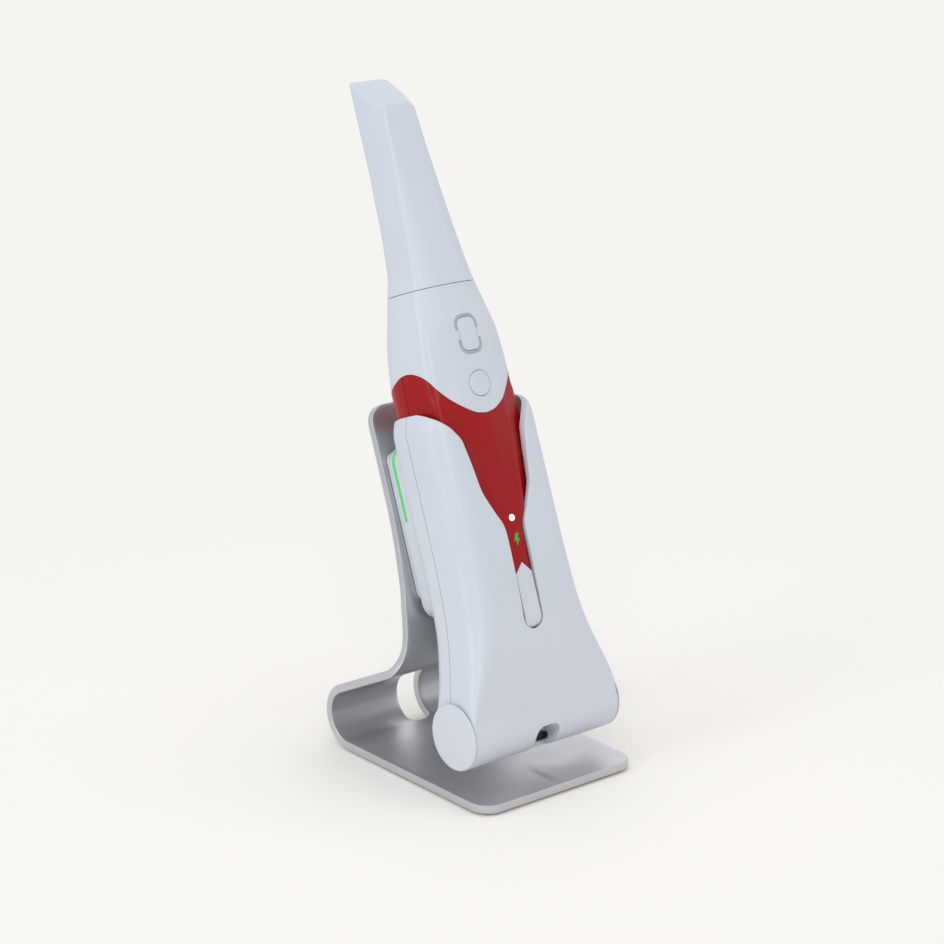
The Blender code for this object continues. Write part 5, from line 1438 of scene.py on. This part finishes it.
def slab_outline(steps=8):
    """The receiver's rounded outline, as points with their outward directions."""
    half, low, high, corner = SLAB_HALF, SLAB_LOW, SLAB_HIGH, SLAB_CORNER
    hubs = ((half - corner, high - corner), (-half + corner, high - corner),
            (-half + corner, low + corner), (half - corner, low + corner))
    points = []
    for quarter, (x, u) in enumerate(hubs):
        for k in range(steps + 1):
            angle = math.pi / 2 * (quarter + k / steps)
            nx, nu = math.cos(angle), math.sin(angle)
            points.append((x + corner * nx, u + corner * nu, nx, nu))
        after = hubs[(quarter + 1) % 4]
        nx, nu = math.cos(angle), math.sin(angle)
        start = (x + corner * nx, u + corner * nu)
        end = (after[0] + corner * nx, after[1] + corner * nu)
        count = max(int(math.dist(start, end) / .0015), 1)
        for k in range(1, count):
            share = k / count
            points.append((start[0] + (end[0] - start[0]) * share,
                           start[1] + (end[1] - start[1]) * share, nx, nu))
    return points


def on_strip(x, u):
    """Whether a place on the receiver's outline carries the light strip."""
    return x < STRIP_END_X and u > STRIP_END_U


def dock_back(x, u):
    """The v of the dock's back at a distance from its middle."""
    ring = dock_ring(u, 0.0)
    widest = int(np.argmax(ring[:, 0] - 1e-4 * ring[:, 1]))
    return float(np.interp(abs(x), ring[widest:, 0][::-1], ring[widest:, 1][::-1]))


def make_receiver():
    """The receiver's case: a rounded slab that meets the dock's back, with a seat for the strip."""
    outline = slab_outline()
    low, high = STRIP_V
    seat, edge = .0007, .0009
    rows = [(None, 0.0, 0.0), (low - .0001, 0.0, 0.0), (low - .00005, 0.0, seat),
            (high + .00005, 0.0, seat), (high + .0001, 0.0, 0.0), (SLAB_BACK - edge, 0.0, 0.0)]
    rows += [(SLAB_BACK - edge + edge * math.sin(a), edge * (1 - math.cos(a)), 0.0)
             for a in (.35, .7, 1.05, 1.35, math.pi / 2)]
    mesh = bmesh.new()
    middle = (SLAB_LOW + SLAB_HIGH) / 2
    rings = []
    for share in (.1, .3, .5, .7, .85):
        ring = []
        for x, u, _, _ in outline:
            x, u = x * share, middle + (u - middle) * share
            ring.append(cradle_vert(mesh, x, dock_back(x, u) + .0001, u))
        rings.append(ring)
    for v, inset, groove in rows:
        ring = []
        for x, u, nx, nu in outline:
            away = inset + (groove if on_strip(x, u) else 0.0)
            depth = dock_back(x, u) + .0001 if v is None else v
            ring.append(cradle_vert(mesh, x - nx * away, depth, u - nu * away))
        rings.append(ring)
    skin_closed(mesh, rings)
    body_piece("receiver_slab", mesh, "white_plastic", "receiver_case", look("white_shell"))


def make_strip():
    """The receiver's green light strip, which bends round its upper left corner."""
    outline = [p for p in slab_outline() if on_strip(p[0], p[1])]
    low, high = STRIP_V
    depth, proud, edge = .00065, .00008, .00015
    section = [(low, -depth), (low, proud - edge), (low + edge, proud), (high - edge, proud),
               (high, proud - edge), (high, -depth)]
    mesh = bmesh.new()
    rings = []
    for x, u, nx, nu in outline:
        rings.append([cradle_vert(mesh, x + nx * out, v, u + nu * out) for v, out in section])
    skin_closed(mesh, rings)
    body_piece("light_strip", mesh, "green_light", "receiver_light", look("green_window"))


# ---------------------------------------------------------------- handle and nose

PARTING = np.array([
    (0, .1057), (12.6, .1063), (24.7, .1081), (31, .1095), (40, .1118), (46.5, .1140), (54, .1173),
    (59.7, .1202), (68, .1225), (78, .1239), (85, .1242), (92, .1238), (100, .1225), (110, .1206),
    (125, .1187), (150, .1172), (180, .1166)])


def parting_level(x, v):
    """Height of the line where the white nose meets the red handle, by the angle round it."""
    return float(blend(PARTING, math.degrees(math.atan2(abs(x), -v)))[0])


def parting_edge(skin, shift):
    """The parting line from the front centre to the back centre, moved up or down a little."""
    edge = []
    for index in range(len(skin.plan)):
        w = PEAK_U - .008
        for _ in range(12):
            ring = scanner_ring(w, 0.0, skin.plan)
            w = parting_level(ring[index][0], ring[index][1]) + shift
        edge.append((skin.columns(w)[index], w))
    return edge


def seam_index(skin):
    """Index of the plan's place at the side's middle."""
    ring = scanner_ring(.09, 0.0, skin.plan)
    return int(np.argmin(np.abs(ring[:, 1])))


class SCANNER_OT_handle(bpy.types.Operator):
    """Build the handle's two red shells, its inlay, its light and its charging sign"""
    bl_idname = "scanner.handle"
    bl_label = "Handle shells"

    def execute(self, context):
        sizes = context.scene.scanner_shells
        step = sizes.shell_step
        skin = Skin(scanner_ring, 0.0, HANDLE_WALL)
        seam, gap = .00008, .00011
        bottom = TAIL_U - TAIL_DROP
        edge = parting_edge(skin, -.0001)
        middle = seam_index(skin)
        front_edge, back_edge = edge[:middle], edge[middle + 1:]
        top = front_edge[-1][1]
        heights = spaced(bottom, TAIL_U, .0009)
        heights += [TAIL_U + d for d in (.0006, .0015, .0028, .0048, .0069, .0090)]
        heights += spaced(TAIL_U + .0100, RIDGE_END_U - .0009, .0010)
        heights += [RIDGE_END_U + d for d in (-.0004, 0, .0003, .0006, .0012, .0020, .0030, .0040)]
        heights += spaced(RIDGE_END_U + .005, PEAK_U, step)
        front_side = [(skin.depth(-gap, w), w) for w in heights if w < top - .0004]
        outline = mark_edge([(q, bottom) for q in spaced(0, front_side[0][0], .0004)[:-1]], seam)
        outline += mark_edge(front_side, seam)
        end = (skin.depth(-gap, top), top)
        outline += mark_edge([end] + front_edge[::-1][1:-1], seam) + [(*front_edge[0], WELD)]
        outline += middle_line(front_edge[0][1], STATUS_U + LIGHT_HOLE, step)
        hole = stadium_side(LIGHT_HOLE, LIGHT_HOLE, STATUS_U, 8)
        outline += front_notch(skin, hole[:-1], .0001) + [(0.0, hole[-1][1], WELD)]
        outline += middle_line(STATUS_U - LIGHT_HOLE, INLAY_TOP, step)
        outline += inlay_notch(skin)
        outline += middle_line(INLAY_LOW - .0002, bottom, step)
        red = [look("red_shell")]
        shell_piece("handle_front", skin, outline, heights, ["handle_front_shell"],
                    red, margin=.00022, angle=32)

        top = back_edge[0][1]
        rear_side = [(skin.depth(gap, w), w) for w in heights if w < top - .0004]
        outline = mark_edge([(skin.depth(gap, top), top)] + rear_side[::-1][:-1], seam)
        outline += mark_edge([(q, bottom) for q in spaced(
            rear_side[0][0], skin.length(bottom), .0004)[:-1]], seam)
        last = back_edge[-1][1]
        outline += [(skin.length(w), w, WELD) for w in heights if w < last - .0004]
        outline += mark_edge(back_edge[::-1][:-1], seam)
        shell_piece("handle_rear", skin, outline, heights, ["handle_rear_shell"],
                    red, margin=.00022, angle=32)
        make_inlay()
        make_sign()
        make_status_light()
        return {"FINISHED"}


def inlay_points(margin):
    """Right half of the inlay's outline, from its pointed top to its round bottom."""
    half, low, high, point = INLAY_HALF + margin, INLAY_LOW - margin, INLAY_TOP + margin * .4, .0038
    points = [(0.0, high)]
    points += [(half * s, high - point * s) for s in (.25, .5, .75)]
    points += [(half, u) for u in spaced(high - point, low + half, .0012)]
    for k in range(1, 11):
        angle = math.pi / 2 * k / 10
        points.append((half * math.cos(angle), low + half - half * math.sin(angle)))
    points[-1] = (0.0, low)
    return points


def inlay_notch(skin):
    """The handle's opening for the inlay."""
    points = inlay_points(.00012)
    return front_notch(skin, points[:-1], .00008) + [(0.0, points[-1][1], WELD)]


def ridge_patch(name, points, proud, depth, lip, nodes, looks, body=SCANNER_BODY, step=.0006,
                steps=4, inner_round=None):
    """A solid piece that follows the scanner's front, from the right half of its outline."""
    skin = Skin(scanner_ring, -proud, depth)
    outline = front_notch(skin, points[::-1][:-1], lip)
    top = points[0][1]
    bottom = points[-1][1]
    outline += [(0.0, w, WELD) for w in spaced(top, bottom, step)[:-1]]
    return shell_piece(name, skin, outline, spaced(bottom, top, step), nodes, looks,
                       steps, inner_round, margin=.00012, body=body)


def make_inlay():
    """The white strip in the handle's ridge."""
    ridge_patch("inlay_strip", inlay_points(0), .00018, .0007, .00016,
                ["tail_inlay"], [look("white_shell")], inner_round=.0001)


def make_status_light():
    """A small domed light window."""
    points = stadium_side(LIGHT_RADIUS, LIGHT_RADIUS, STATUS_U, 10)
    ridge_patch("light_window", points, .00010, .0007, .0002,
                ["status_light"], [look("white_window")], step=.0003, inner_round=.0001)


def make_sign():
    """The charging sign: a thin bolt that follows the ridge."""
    shape = [(-.10, 1.0), (.42, 1.0), (.12, .58), (.50, .58), (-.22, -.0), (.0, .42), (-.42, .42)]
    height = .0044
    outline = [(x * height * .62, CHARGE_U - height / 2 + y * height) for x, y in shape]
    mesh = bmesh.new()
    rings = []
    for grow, proud in ((1.0, -.0004), (1.0, .00003), (.93, .00006)):
        ring = []
        for x, u in outline:
            x, u = x * grow, CHARGE_U + (u - CHARGE_U) * grow
            v = float(blend(SCANNER, u)[0]) - proud
            ring.append(cradle_vert(mesh, x, v, u))
        rings.append(ring)
    skin_closed(mesh, rings)
    bmesh.ops.recalc_face_normals(mesh, faces=mesh.faces)
    bmesh.ops.triangulate(mesh, faces=mesh.faces)
    new_piece("bolt_sign", kept_mesh(mesh, "bolt_sign"), SCANNER_BODY,
              ["charge_sign"], [look("green_sign")])


class SCANNER_OT_nose(bpy.types.Operator):
    """Build the white nose housing with its button openings"""
    bl_idname = "scanner.nose"
    bl_label = "Nose housing"

    def execute(self, context):
        sizes = context.scene.scanner_shells
        step = sizes.shell_step
        skin = Skin(scanner_ring, 0.0, HANDLE_WALL)
        seam = .00010
        top = SEAM_U - .0001
        edge = parting_edge(skin, .0001)
        outline = mark_edge(edge[:-1], .00016) + [(*edge[-1], WELD)]
        side = spaced(edge[-1][1], top, step)[1:-1]
        outline += [(skin.length(w), w, WELD) for w in side]
        outline += mark_edge([(q, top) for q in skin.columns(top)[::-1][:-1]], seam)
        outline.append((0.0, top, WELD))
        gap = sizes.button_gap
        scan = button_side(gap)
        power = stadium_side(POWER_RADIUS + gap, POWER_RADIUS + gap, POWER_U)
        above = top
        for hole in (scan, power):
            outline += middle_line(above, hole[0][1], step)
            above = hole[-1][1]
            outline += front_notch(skin, hole[:-1], .00012) + [(0.0, above, WELD)]
        outline += middle_line(above, edge[0][1], step)
        shell_piece("nose_shell", skin, outline, spaced(edge[0][1], top, step),
                    ["nose_housing"], [look("white_shell")], margin=.00025, angle=32)
        return {"FINISHED"}


KEY_DEPTH, KEY_STEP = .0022, .0005
SCAN_DISH, POWER_DISH = (.0034, .00025), (.0042, .00015)


def dished(data, centre, radius, depth):
    """Sinks the middle of a button's top a little, for the finger."""
    hub = CRADLE @ Vector((0, float(blend(SCANNER, centre)[0]), centre))
    inward = (CRADLE.to_3x3() @ Vector((0, 1, 0))).normalized()
    for vert in data.vertices:
        away = vert.co - hub
        along = away.dot(inward)
        reach = (away - inward * along).length
        if along < .0003 and reach < radius:
            vert.co += inward * depth * (1 - (reach / radius) ** 2) ** 2


class SCANNER_OT_buttons(bpy.types.Operator):
    """Build the scan button, its brackets and the power button"""
    bl_idname = "scanner.buttons"
    bl_label = "Buttons"

    def execute(self, context):
        sizes = context.scene.scanner_shells
        white = [look("white_shell")]
        piece = ridge_patch("scan_key_cap", button_side(), sizes.button_proud, KEY_DEPTH, .00022,
                            ["scan_button"], white, "scan_key", KEY_STEP,
                            inner_round=.0001)
        dished(piece.data, SCAN_U, *SCAN_DISH)
        power = stadium_side(POWER_RADIUS, POWER_RADIUS, POWER_U)
        piece = ridge_patch("power_key_cap", power, sizes.button_proud * .5, KEY_DEPTH, .00018,
                            ["power_button"], white, "power_key", KEY_STEP,
                            inner_round=.0001)
        dished(piece.data, POWER_U, *POWER_DISH)
        for name, side in (("scan_ring_lower", -1), ("scan_ring_upper", 1)):
            make_bracket(name, side)
        return {"FINISHED"}


def make_bracket(name, side):
    """One grey bracket round an end of the scan button, flush with the housing."""
    inner, outer, opening = .00035, .00130, .0017
    across, along = SCAN_HALF - SCAN_CORNER, SCAN_LENGTH - SCAN_CORNER
    arc = [math.pi / 2 * k / 10 for k in range(11)]
    stations = [(across, u, 0.0) for u in spaced(opening, along, .0003)[:-1]]
    stations += [(across, along, angle) for angle in arc]
    stations += [(x, along, math.pi / 2) for x in spaced(across, -across, .0003)[1:-1]]
    stations += [(-across, along, math.pi / 2 + angle) for angle in arc]
    stations += [(-across, u, math.pi) for u in spaced(along, opening, .0003)[1:]]
    mesh = bmesh.new()
    rings = []
    for hub, shift, angle in stations:
        ring = []
        for share, proud in ((0, -.0006), (0, .00002), (.12, .00007), (.88, .00007), (1, .00002),
                             (1, -.0006)):
            radius = SCAN_CORNER + inner + (outer - inner) * share
            x = hub + radius * math.cos(angle)
            u = SCAN_U + side * (shift + radius * math.sin(angle))
            ring.append(cradle_vert(mesh, x, front_depth(x, u) - proud, u))
        rings.append(ring)
    skin_closed(mesh, rings)
    body_piece(name + "_band", mesh, "grey_plastic", name, look("grey_bracket"))


def front_depth(x, u):
    """The v of the scanner's front at a distance from its middle."""
    ring = scanner_ring(u, 0.0)
    widest = int(np.argmax(ring[:, 0]))
    return float(np.interp(abs(x), ring[:widest + 1, 0], ring[:widest + 1, 1]))


# ---------------------------------------------------------------- tip

TIP_LEAN_REACH, TIP_FACE_SECTION = .0200, .004


def tip_rows(low, inset, sinks):
    """Half rings of the tip: level ones, then ones that lean into the sloped face."""
    level = TIP_FACE_U - TIP_LEAN_REACH
    rows = [scanner_ring(u, inset) for u in low]
    first = sinks[0][0]
    for share in spaced(0, .96, .06):
        ring = scanner_ring(level + share * .010, inset)
        sloped = TIP_FACE_U + ring[:, 1] * math.tan(TIP_SLOPE) - first
        ring[:, 2] = level * (1 - share) + sloped * share
        rows.append(ring)
    for sink, extra in sinks:
        ring = scanner_ring(TIP_FACE_U - TIP_FACE_SECTION, inset + extra)
        ring[:, 2] = TIP_FACE_U + ring[:, 1] * math.tan(TIP_SLOPE) - sink
        rows.append(ring)
    return rows


def ring_verts(mesh, half):
    """The closed ring of a half ring and its mirror."""
    whole = [tuple(p) for p in half] + [(-p[0], p[1], p[2]) for p in half[-2:0:-1]]
    return [cradle_vert(mesh, *p) for p in whole]


class SCANNER_OT_tip(bpy.types.Operator):
    """Build the pull-off tip with its window"""
    bl_idname = "scanner.tip"
    bl_label = "Tip"

    def execute(self, context):
        low = SEAM_U + .0001
        rounding = [(.00085, 0), (.00057, .00002), (.00033, .00008), (.00016, .00021),
                    (.00005, .00038), (0, .0006)]
        heights = [low + .0001] + spaced(low + .0008, TIP_NARROW_U, .0014)
        outer = tip_rows(heights, 0.0, rounding)
        edge = scanner_ring(low, .0001)
        wall = TIP_WALL / math.cos(TIP_SLOPE)
        inner = tip_rows(spaced(low, TIP_NARROW_U, .0035), TIP_WALL, [(wall, 0)])
        mesh = bmesh.new()
        outer = [ring_verts(mesh, edge)] + [ring_verts(mesh, half) for half in outer]
        inner = [ring_verts(mesh, half) for half in inner]
        skin_rows(mesh, outer)
        skin_rows(mesh, inner, True)
        skin_rows(mesh, [inner[0], outer[0]])
        mesh.faces.new(outer[-1])
        mesh.faces.new(inner[-1][::-1])
        holder = linked("tip_whole", outward_mesh(mesh, "tip_shell"))
        cutter = window_cutter()
        step = holder.modifiers.new("window", "BOOLEAN")
        step.operation = "DIFFERENCE"
        step.solver = "EXACT"
        step.object = cutter
        bpy.context.view_layer.update()
        shown = holder.evaluated_get(bpy.context.evaluated_depsgraph_get())
        data = bpy.data.meshes.new_from_object(shown)
        data.name = "tip_shell"
        bpy.data.objects.remove(holder)
        bpy.data.objects.remove(cutter)
        new_piece("tip_shell", data, "tip", ["scan_tip"],
                  [look("white_shell")], 30)
        return {"FINISHED"}


def window_cutter():
    """A rounded block through the tip's back wall."""
    half, corner = TIP_WINDOW_WIDTH / 2, TIP_WINDOW_CORNER
    outline = []
    for quarter, (sx, su) in enumerate(((1, 1), (-1, 1), (-1, -1), (1, -1))):
        for k in range(9):
            angle = math.pi / 2 * (quarter + k / 8)
            outline.append((sx * (half - corner) + corner * math.cos(angle),
                            TIP_WINDOW_U + su * (TIP_WINDOW_LENGTH / 2 - corner)
                            + corner * math.sin(angle)))
    mesh = bmesh.new()
    skin_closed(mesh, [[cradle_vert(mesh, x, v, u) for x, u in outline] for v in (.0052, .0140)])
    return linked("window_block", outward_mesh(mesh, "window_block"))


# ---------------------------------------------------------------- inner bands

def band(name, ring, levels, inset, wall, slot, node, finish):
    """A plate or tube that follows the shells inside: solid where wall is nought."""
    mesh = bmesh.new()
    lip = .00015
    first, last = levels[0], levels[-1]
    outer = [ring_verts(mesh, ring(first, inset + lip))]
    outer += [ring_verts(mesh, ring(u, inset)) for u in [first + lip] + levels[1:-1] + [last - lip]]
    outer.append(ring_verts(mesh, ring(last, inset + lip)))
    skin_rows(mesh, outer)
    if wall:
        inner = [ring_verts(mesh, ring(u, inset + wall)) for u in levels]
        skin_rows(mesh, inner, True)
        skin_rows(mesh, [inner[0], outer[0]])
        skin_rows(mesh, [outer[-1], inner[-1]])
    else:
        mesh.faces.new(outer[0][::-1])
        mesh.faces.new(outer[-1])
    body_piece(name, mesh, slot, node, look(finish))


class SCANNER_OT_bands(bpy.types.Operator):
    """Build the inner tube, seal, boards and floor that follow the shells"""
    bl_idname = "scanner.bands"
    bl_label = "Inner bands"

    def execute(self, context):
        band("inner_tube", scanner_ring, spaced(.1415, .1875, .0020) + [.1900], .0022, .0010,
             "white_plastic", "nose_tube", "white_shell")
        band("seal_band", scanner_ring, spaced(.1567, .1587, .0005), .00185, .0003,
             "black_rubber", "nose_seal", "seal_rubber")
        band("sensor_board", scanner_ring, [.1367, .1373, .1379], .0021, 0,
             "circuit_board", "camera_board", "board")
        band("sensor_block", scanner_ring, spaced(.1382, .1412, .0010), .0040, 0,
             "aluminium", "optics_block", "milled_block")
        band("cradle_floor", dock_ring, spaced(.0105, .0135, .0010), .0023, 0,
             "white_plastic", "dock_floor", "white_shell")
        return {"FINISHED"}


# ---------------------------------------------------------------- carried-over nodes

NODE_LOOKS = {
    "white_shell": ("receiver_cover",),
    "black_moulding": ("contact_block", "charge_socket", "inner_frame", "scan_switch",
                       "power_switch"),
    "gold_contact": ("charge_pin_left", "charge_pin_right", "tail_contact_left",
                     "tail_contact_right"),
    "board": ("dock_board", "receiver_board", "main_board", "button_board"),
    "cell_wrap": ("battery",),
    "milled_block": ("heat_sink",),
    "lens_barrel": ("camera_lens", "projector_lens"),
    "window_glass": ("nose_window",),
    "polished_mirror": ("tip_mirror",),
}


class SCANNER_OT_inside(bpy.types.Operator):
    """Give the carried-over CAD nodes their finishes"""
    bl_idname = "scanner.inside"
    bl_label = "Inner pieces"

    def execute(self, context):
        for name, nodes in NODE_LOOKS.items():
            for node in nodes:
                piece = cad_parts[node]
                if not piece.material_slots:
                    piece.data.materials.append(look(name))
                for held in piece.material_slots:
                    held.material = look(name)
        return {"FINISHED"}


# ---------------------------------------------------------------- studio

CAMERA_PLACE = (-.572232, -.697441, .377767)
CAMERA_TURN, CAMERA_RISE = math.radians(-39.542), math.radians(16.902)
LAMP_TARGET = Vector((0, 0, .11))
LAMPS = (
    ("key", (-1.15, -1.35, 1.05), (.8, .8), 5.5, (1, .99, .97)),
    ("fill", (1.4, -.7, .9), (1.2, 1.2), 1.8, (1, .99, .98)),
    ("left", (-1.55, .1, .75), (.4, 1.2), 5.5, (.90, .95, 1)),
    ("back", (1.0, 1.25, .65), (1.2, 1.2), 1.8, (1, 1, 1)),
    ("top", (.1, .1, 1.9), (1.0, 1.0), 3.5, (1, 1, 1)),
)
SKY_COLOUR, SKY_LEVEL = (.945, .963, 1.0, 1), .82
FLOOR_RADIUS = .36
FLOOR_TINT = (1.02, .99, .965)
FADE_FROM, FADE_TO = .09, .34


def softbox(name, place, size, watts, colour):
    """A rectangular area lamp that faces the scanner, by its width and height."""
    data = bpy.data.lights.new(name, "AREA")
    data.shape = "RECTANGLE"
    data.size, data.size_y = size
    data.energy = watts
    data.color = colour
    lamp = linked(name, data)
    lamp.location = place
    lamp.rotation_euler = (LAMP_TARGET - lamp.location).to_track_quat("-Z", "Y").to_euler()


def backdrop_material(colour):
    """A floor that shows the backdrop's colour to the camera, and keeps a soft shadow."""
    made = bpy.data.materials.new("backdrop")
    made.use_nodes = True
    tree = made.node_tree
    tree.nodes.clear()
    out = tree.nodes.new("ShaderNodeOutputMaterial")
    diffuse = tree.nodes.new("ShaderNodeBsdfDiffuse")
    cloud = noise(tree, 3.0, 2.0)
    mix = tree.nodes.new("ShaderNodeMix")
    mix.data_type = "RGBA"
    mix.inputs["A"].default_value = (*[c * .985 for c in colour], 1)
    mix.inputs["B"].default_value = (*colour, 1)
    tree.links.new(cloud.outputs["Fac"], mix.inputs["Factor"])
    tree.links.new(mix.outputs["Result"], diffuse.inputs["Color"])
    coords = tree.nodes.new("ShaderNodeTexCoord")
    reach = tree.nodes.new("ShaderNodeVectorMath")
    reach.operation = "LENGTH"
    tree.links.new(coords.outputs["Object"], reach.inputs[0])
    fade = tree.nodes.new("ShaderNodeMapRange")
    fade.interpolation_type = "SMOOTHSTEP"
    fade.inputs["From Min"].default_value = FADE_FROM
    fade.inputs["From Max"].default_value = FADE_TO
    tree.links.new(reach.outputs["Value"], fade.inputs["Value"])
    clear = tree.nodes.new("ShaderNodeBsdfTransparent")
    blended = tree.nodes.new("ShaderNodeMixShader")
    tree.links.new(fade.outputs[0], blended.inputs[0])
    tree.links.new(diffuse.outputs[0], blended.inputs[1])
    tree.links.new(clear.outputs[0], blended.inputs[2])
    tree.links.new(blended.outputs[0], out.inputs[0])
    return made


class SCANNER_OT_studio(bpy.types.Operator):
    """Build the floor, the lamps, the sky and the camera"""
    bl_idname = "scanner.studio"
    bl_label = "Studio"

    def execute(self, context):
        scene = context.scene
        sizes = scene.scanner_studio
        colour = tuple(sizes.backdrop)
        mesh = bmesh.new()
        bmesh.ops.create_circle(mesh, cap_ends=True, radius=FLOOR_RADIUS, segments=96)
        floor = linked("floor", kept_mesh(mesh, "floor"))
        floor.data.materials.append(backdrop_material([c * k for c, k in zip(colour, FLOOR_TINT)]))

        world = bpy.data.worlds.new("studio")
        scene.world = world
        world.use_nodes = True
        tree = world.node_tree
        tree.nodes.clear()
        out = tree.nodes.new("ShaderNodeOutputWorld")
        seen, light = (tree.nodes.new("ShaderNodeBackground") for _ in range(2))
        seen.inputs["Color"].default_value = (*colour, 1)
        light.inputs["Color"].default_value = SKY_COLOUR
        light.inputs["Strength"].default_value = SKY_LEVEL * sizes.lamp_level
        paths = tree.nodes.new("ShaderNodeLightPath")
        mix = tree.nodes.new("ShaderNodeMixShader")
        tree.links.new(paths.outputs["Is Camera Ray"], mix.inputs[0])
        tree.links.new(light.outputs[0], mix.inputs[1])
        tree.links.new(seen.outputs[0], mix.inputs[2])
        tree.links.new(mix.outputs[0], out.inputs[0])

        for name, place, size, watts, tint in LAMPS:
            softbox(name, place, size, watts * sizes.lamp_level, tint)

        data = bpy.data.cameras.new("camera")
        camera = linked("camera", data)
        camera.location = CAMERA_PLACE
        turn, rise = CAMERA_TURN, CAMERA_RISE
        back = Vector((math.sin(turn) * math.cos(rise), -math.cos(turn) * math.cos(rise),
                       math.sin(rise)))
        camera.rotation_euler = (-back).to_track_quat("-Z", "Y").to_euler()
        data.lens = sizes.lens
        data.sensor_width = 36.0
        data.clip_end = 20.0
        scene.camera = camera
        scene.view_settings.view_transform = "Standard"
        return {"FINISHED"}


# ---------------------------------------------------------------- add-on

BUILD_STEPS = (SCANNER_OT_studio, SCANNER_OT_stand, SCANNER_OT_fixings, SCANNER_OT_dock,
               SCANNER_OT_handle, SCANNER_OT_nose, SCANNER_OT_buttons, SCANNER_OT_tip,
               SCANNER_OT_bands, SCANNER_OT_inside)


class VIEW3D_PT_scanner(bpy.types.Panel):
    """Lists the build steps and their sizes"""
    bl_label = "Intraoral scanner"
    bl_space_type = "VIEW_3D"
    bl_region_type = "UI"
    bl_category = "Scanner"

    def draw(self, context):
        layout = self.layout
        for step in BUILD_STEPS:
            layout.operator(step.bl_idname)
        for group in SETTINGS:
            box = layout.box()
            held = getattr(context.scene, group)
            for name in held.__annotations__:
                box.prop(held, name)


SETTINGS = {"scanner_stand": StandSettings, "scanner_dock": DockSettings,
            "scanner_shells": ScannerSettings, "scanner_finishes": FinishSettings,
            "scanner_studio": StudioSettings}
CLASSES = (*SETTINGS.values(), *BUILD_STEPS, VIEW3D_PT_scanner)


def register():
    """Registers the classes and their settings."""
    for item in CLASSES:
        bpy.utils.register_class(item)
    for name, group in SETTINGS.items():
        setattr(bpy.types.Scene, name, PointerProperty(type=group))


def unregister():
    """Takes the settings and the classes away again."""
    for name in SETTINGS:
        delattr(bpy.types.Scene, name)
    for item in reversed(CLASSES):
        bpy.utils.unregister_class(item)


def main():
    """Builds every piece in order."""
    register()
    for step in BUILD_STEPS:
        group, name = step.bl_idname.split(".")
        getattr(getattr(bpy.ops, group), name)()
    bpy.context.view_layer.update()


if __name__ == "__main__":
    main()
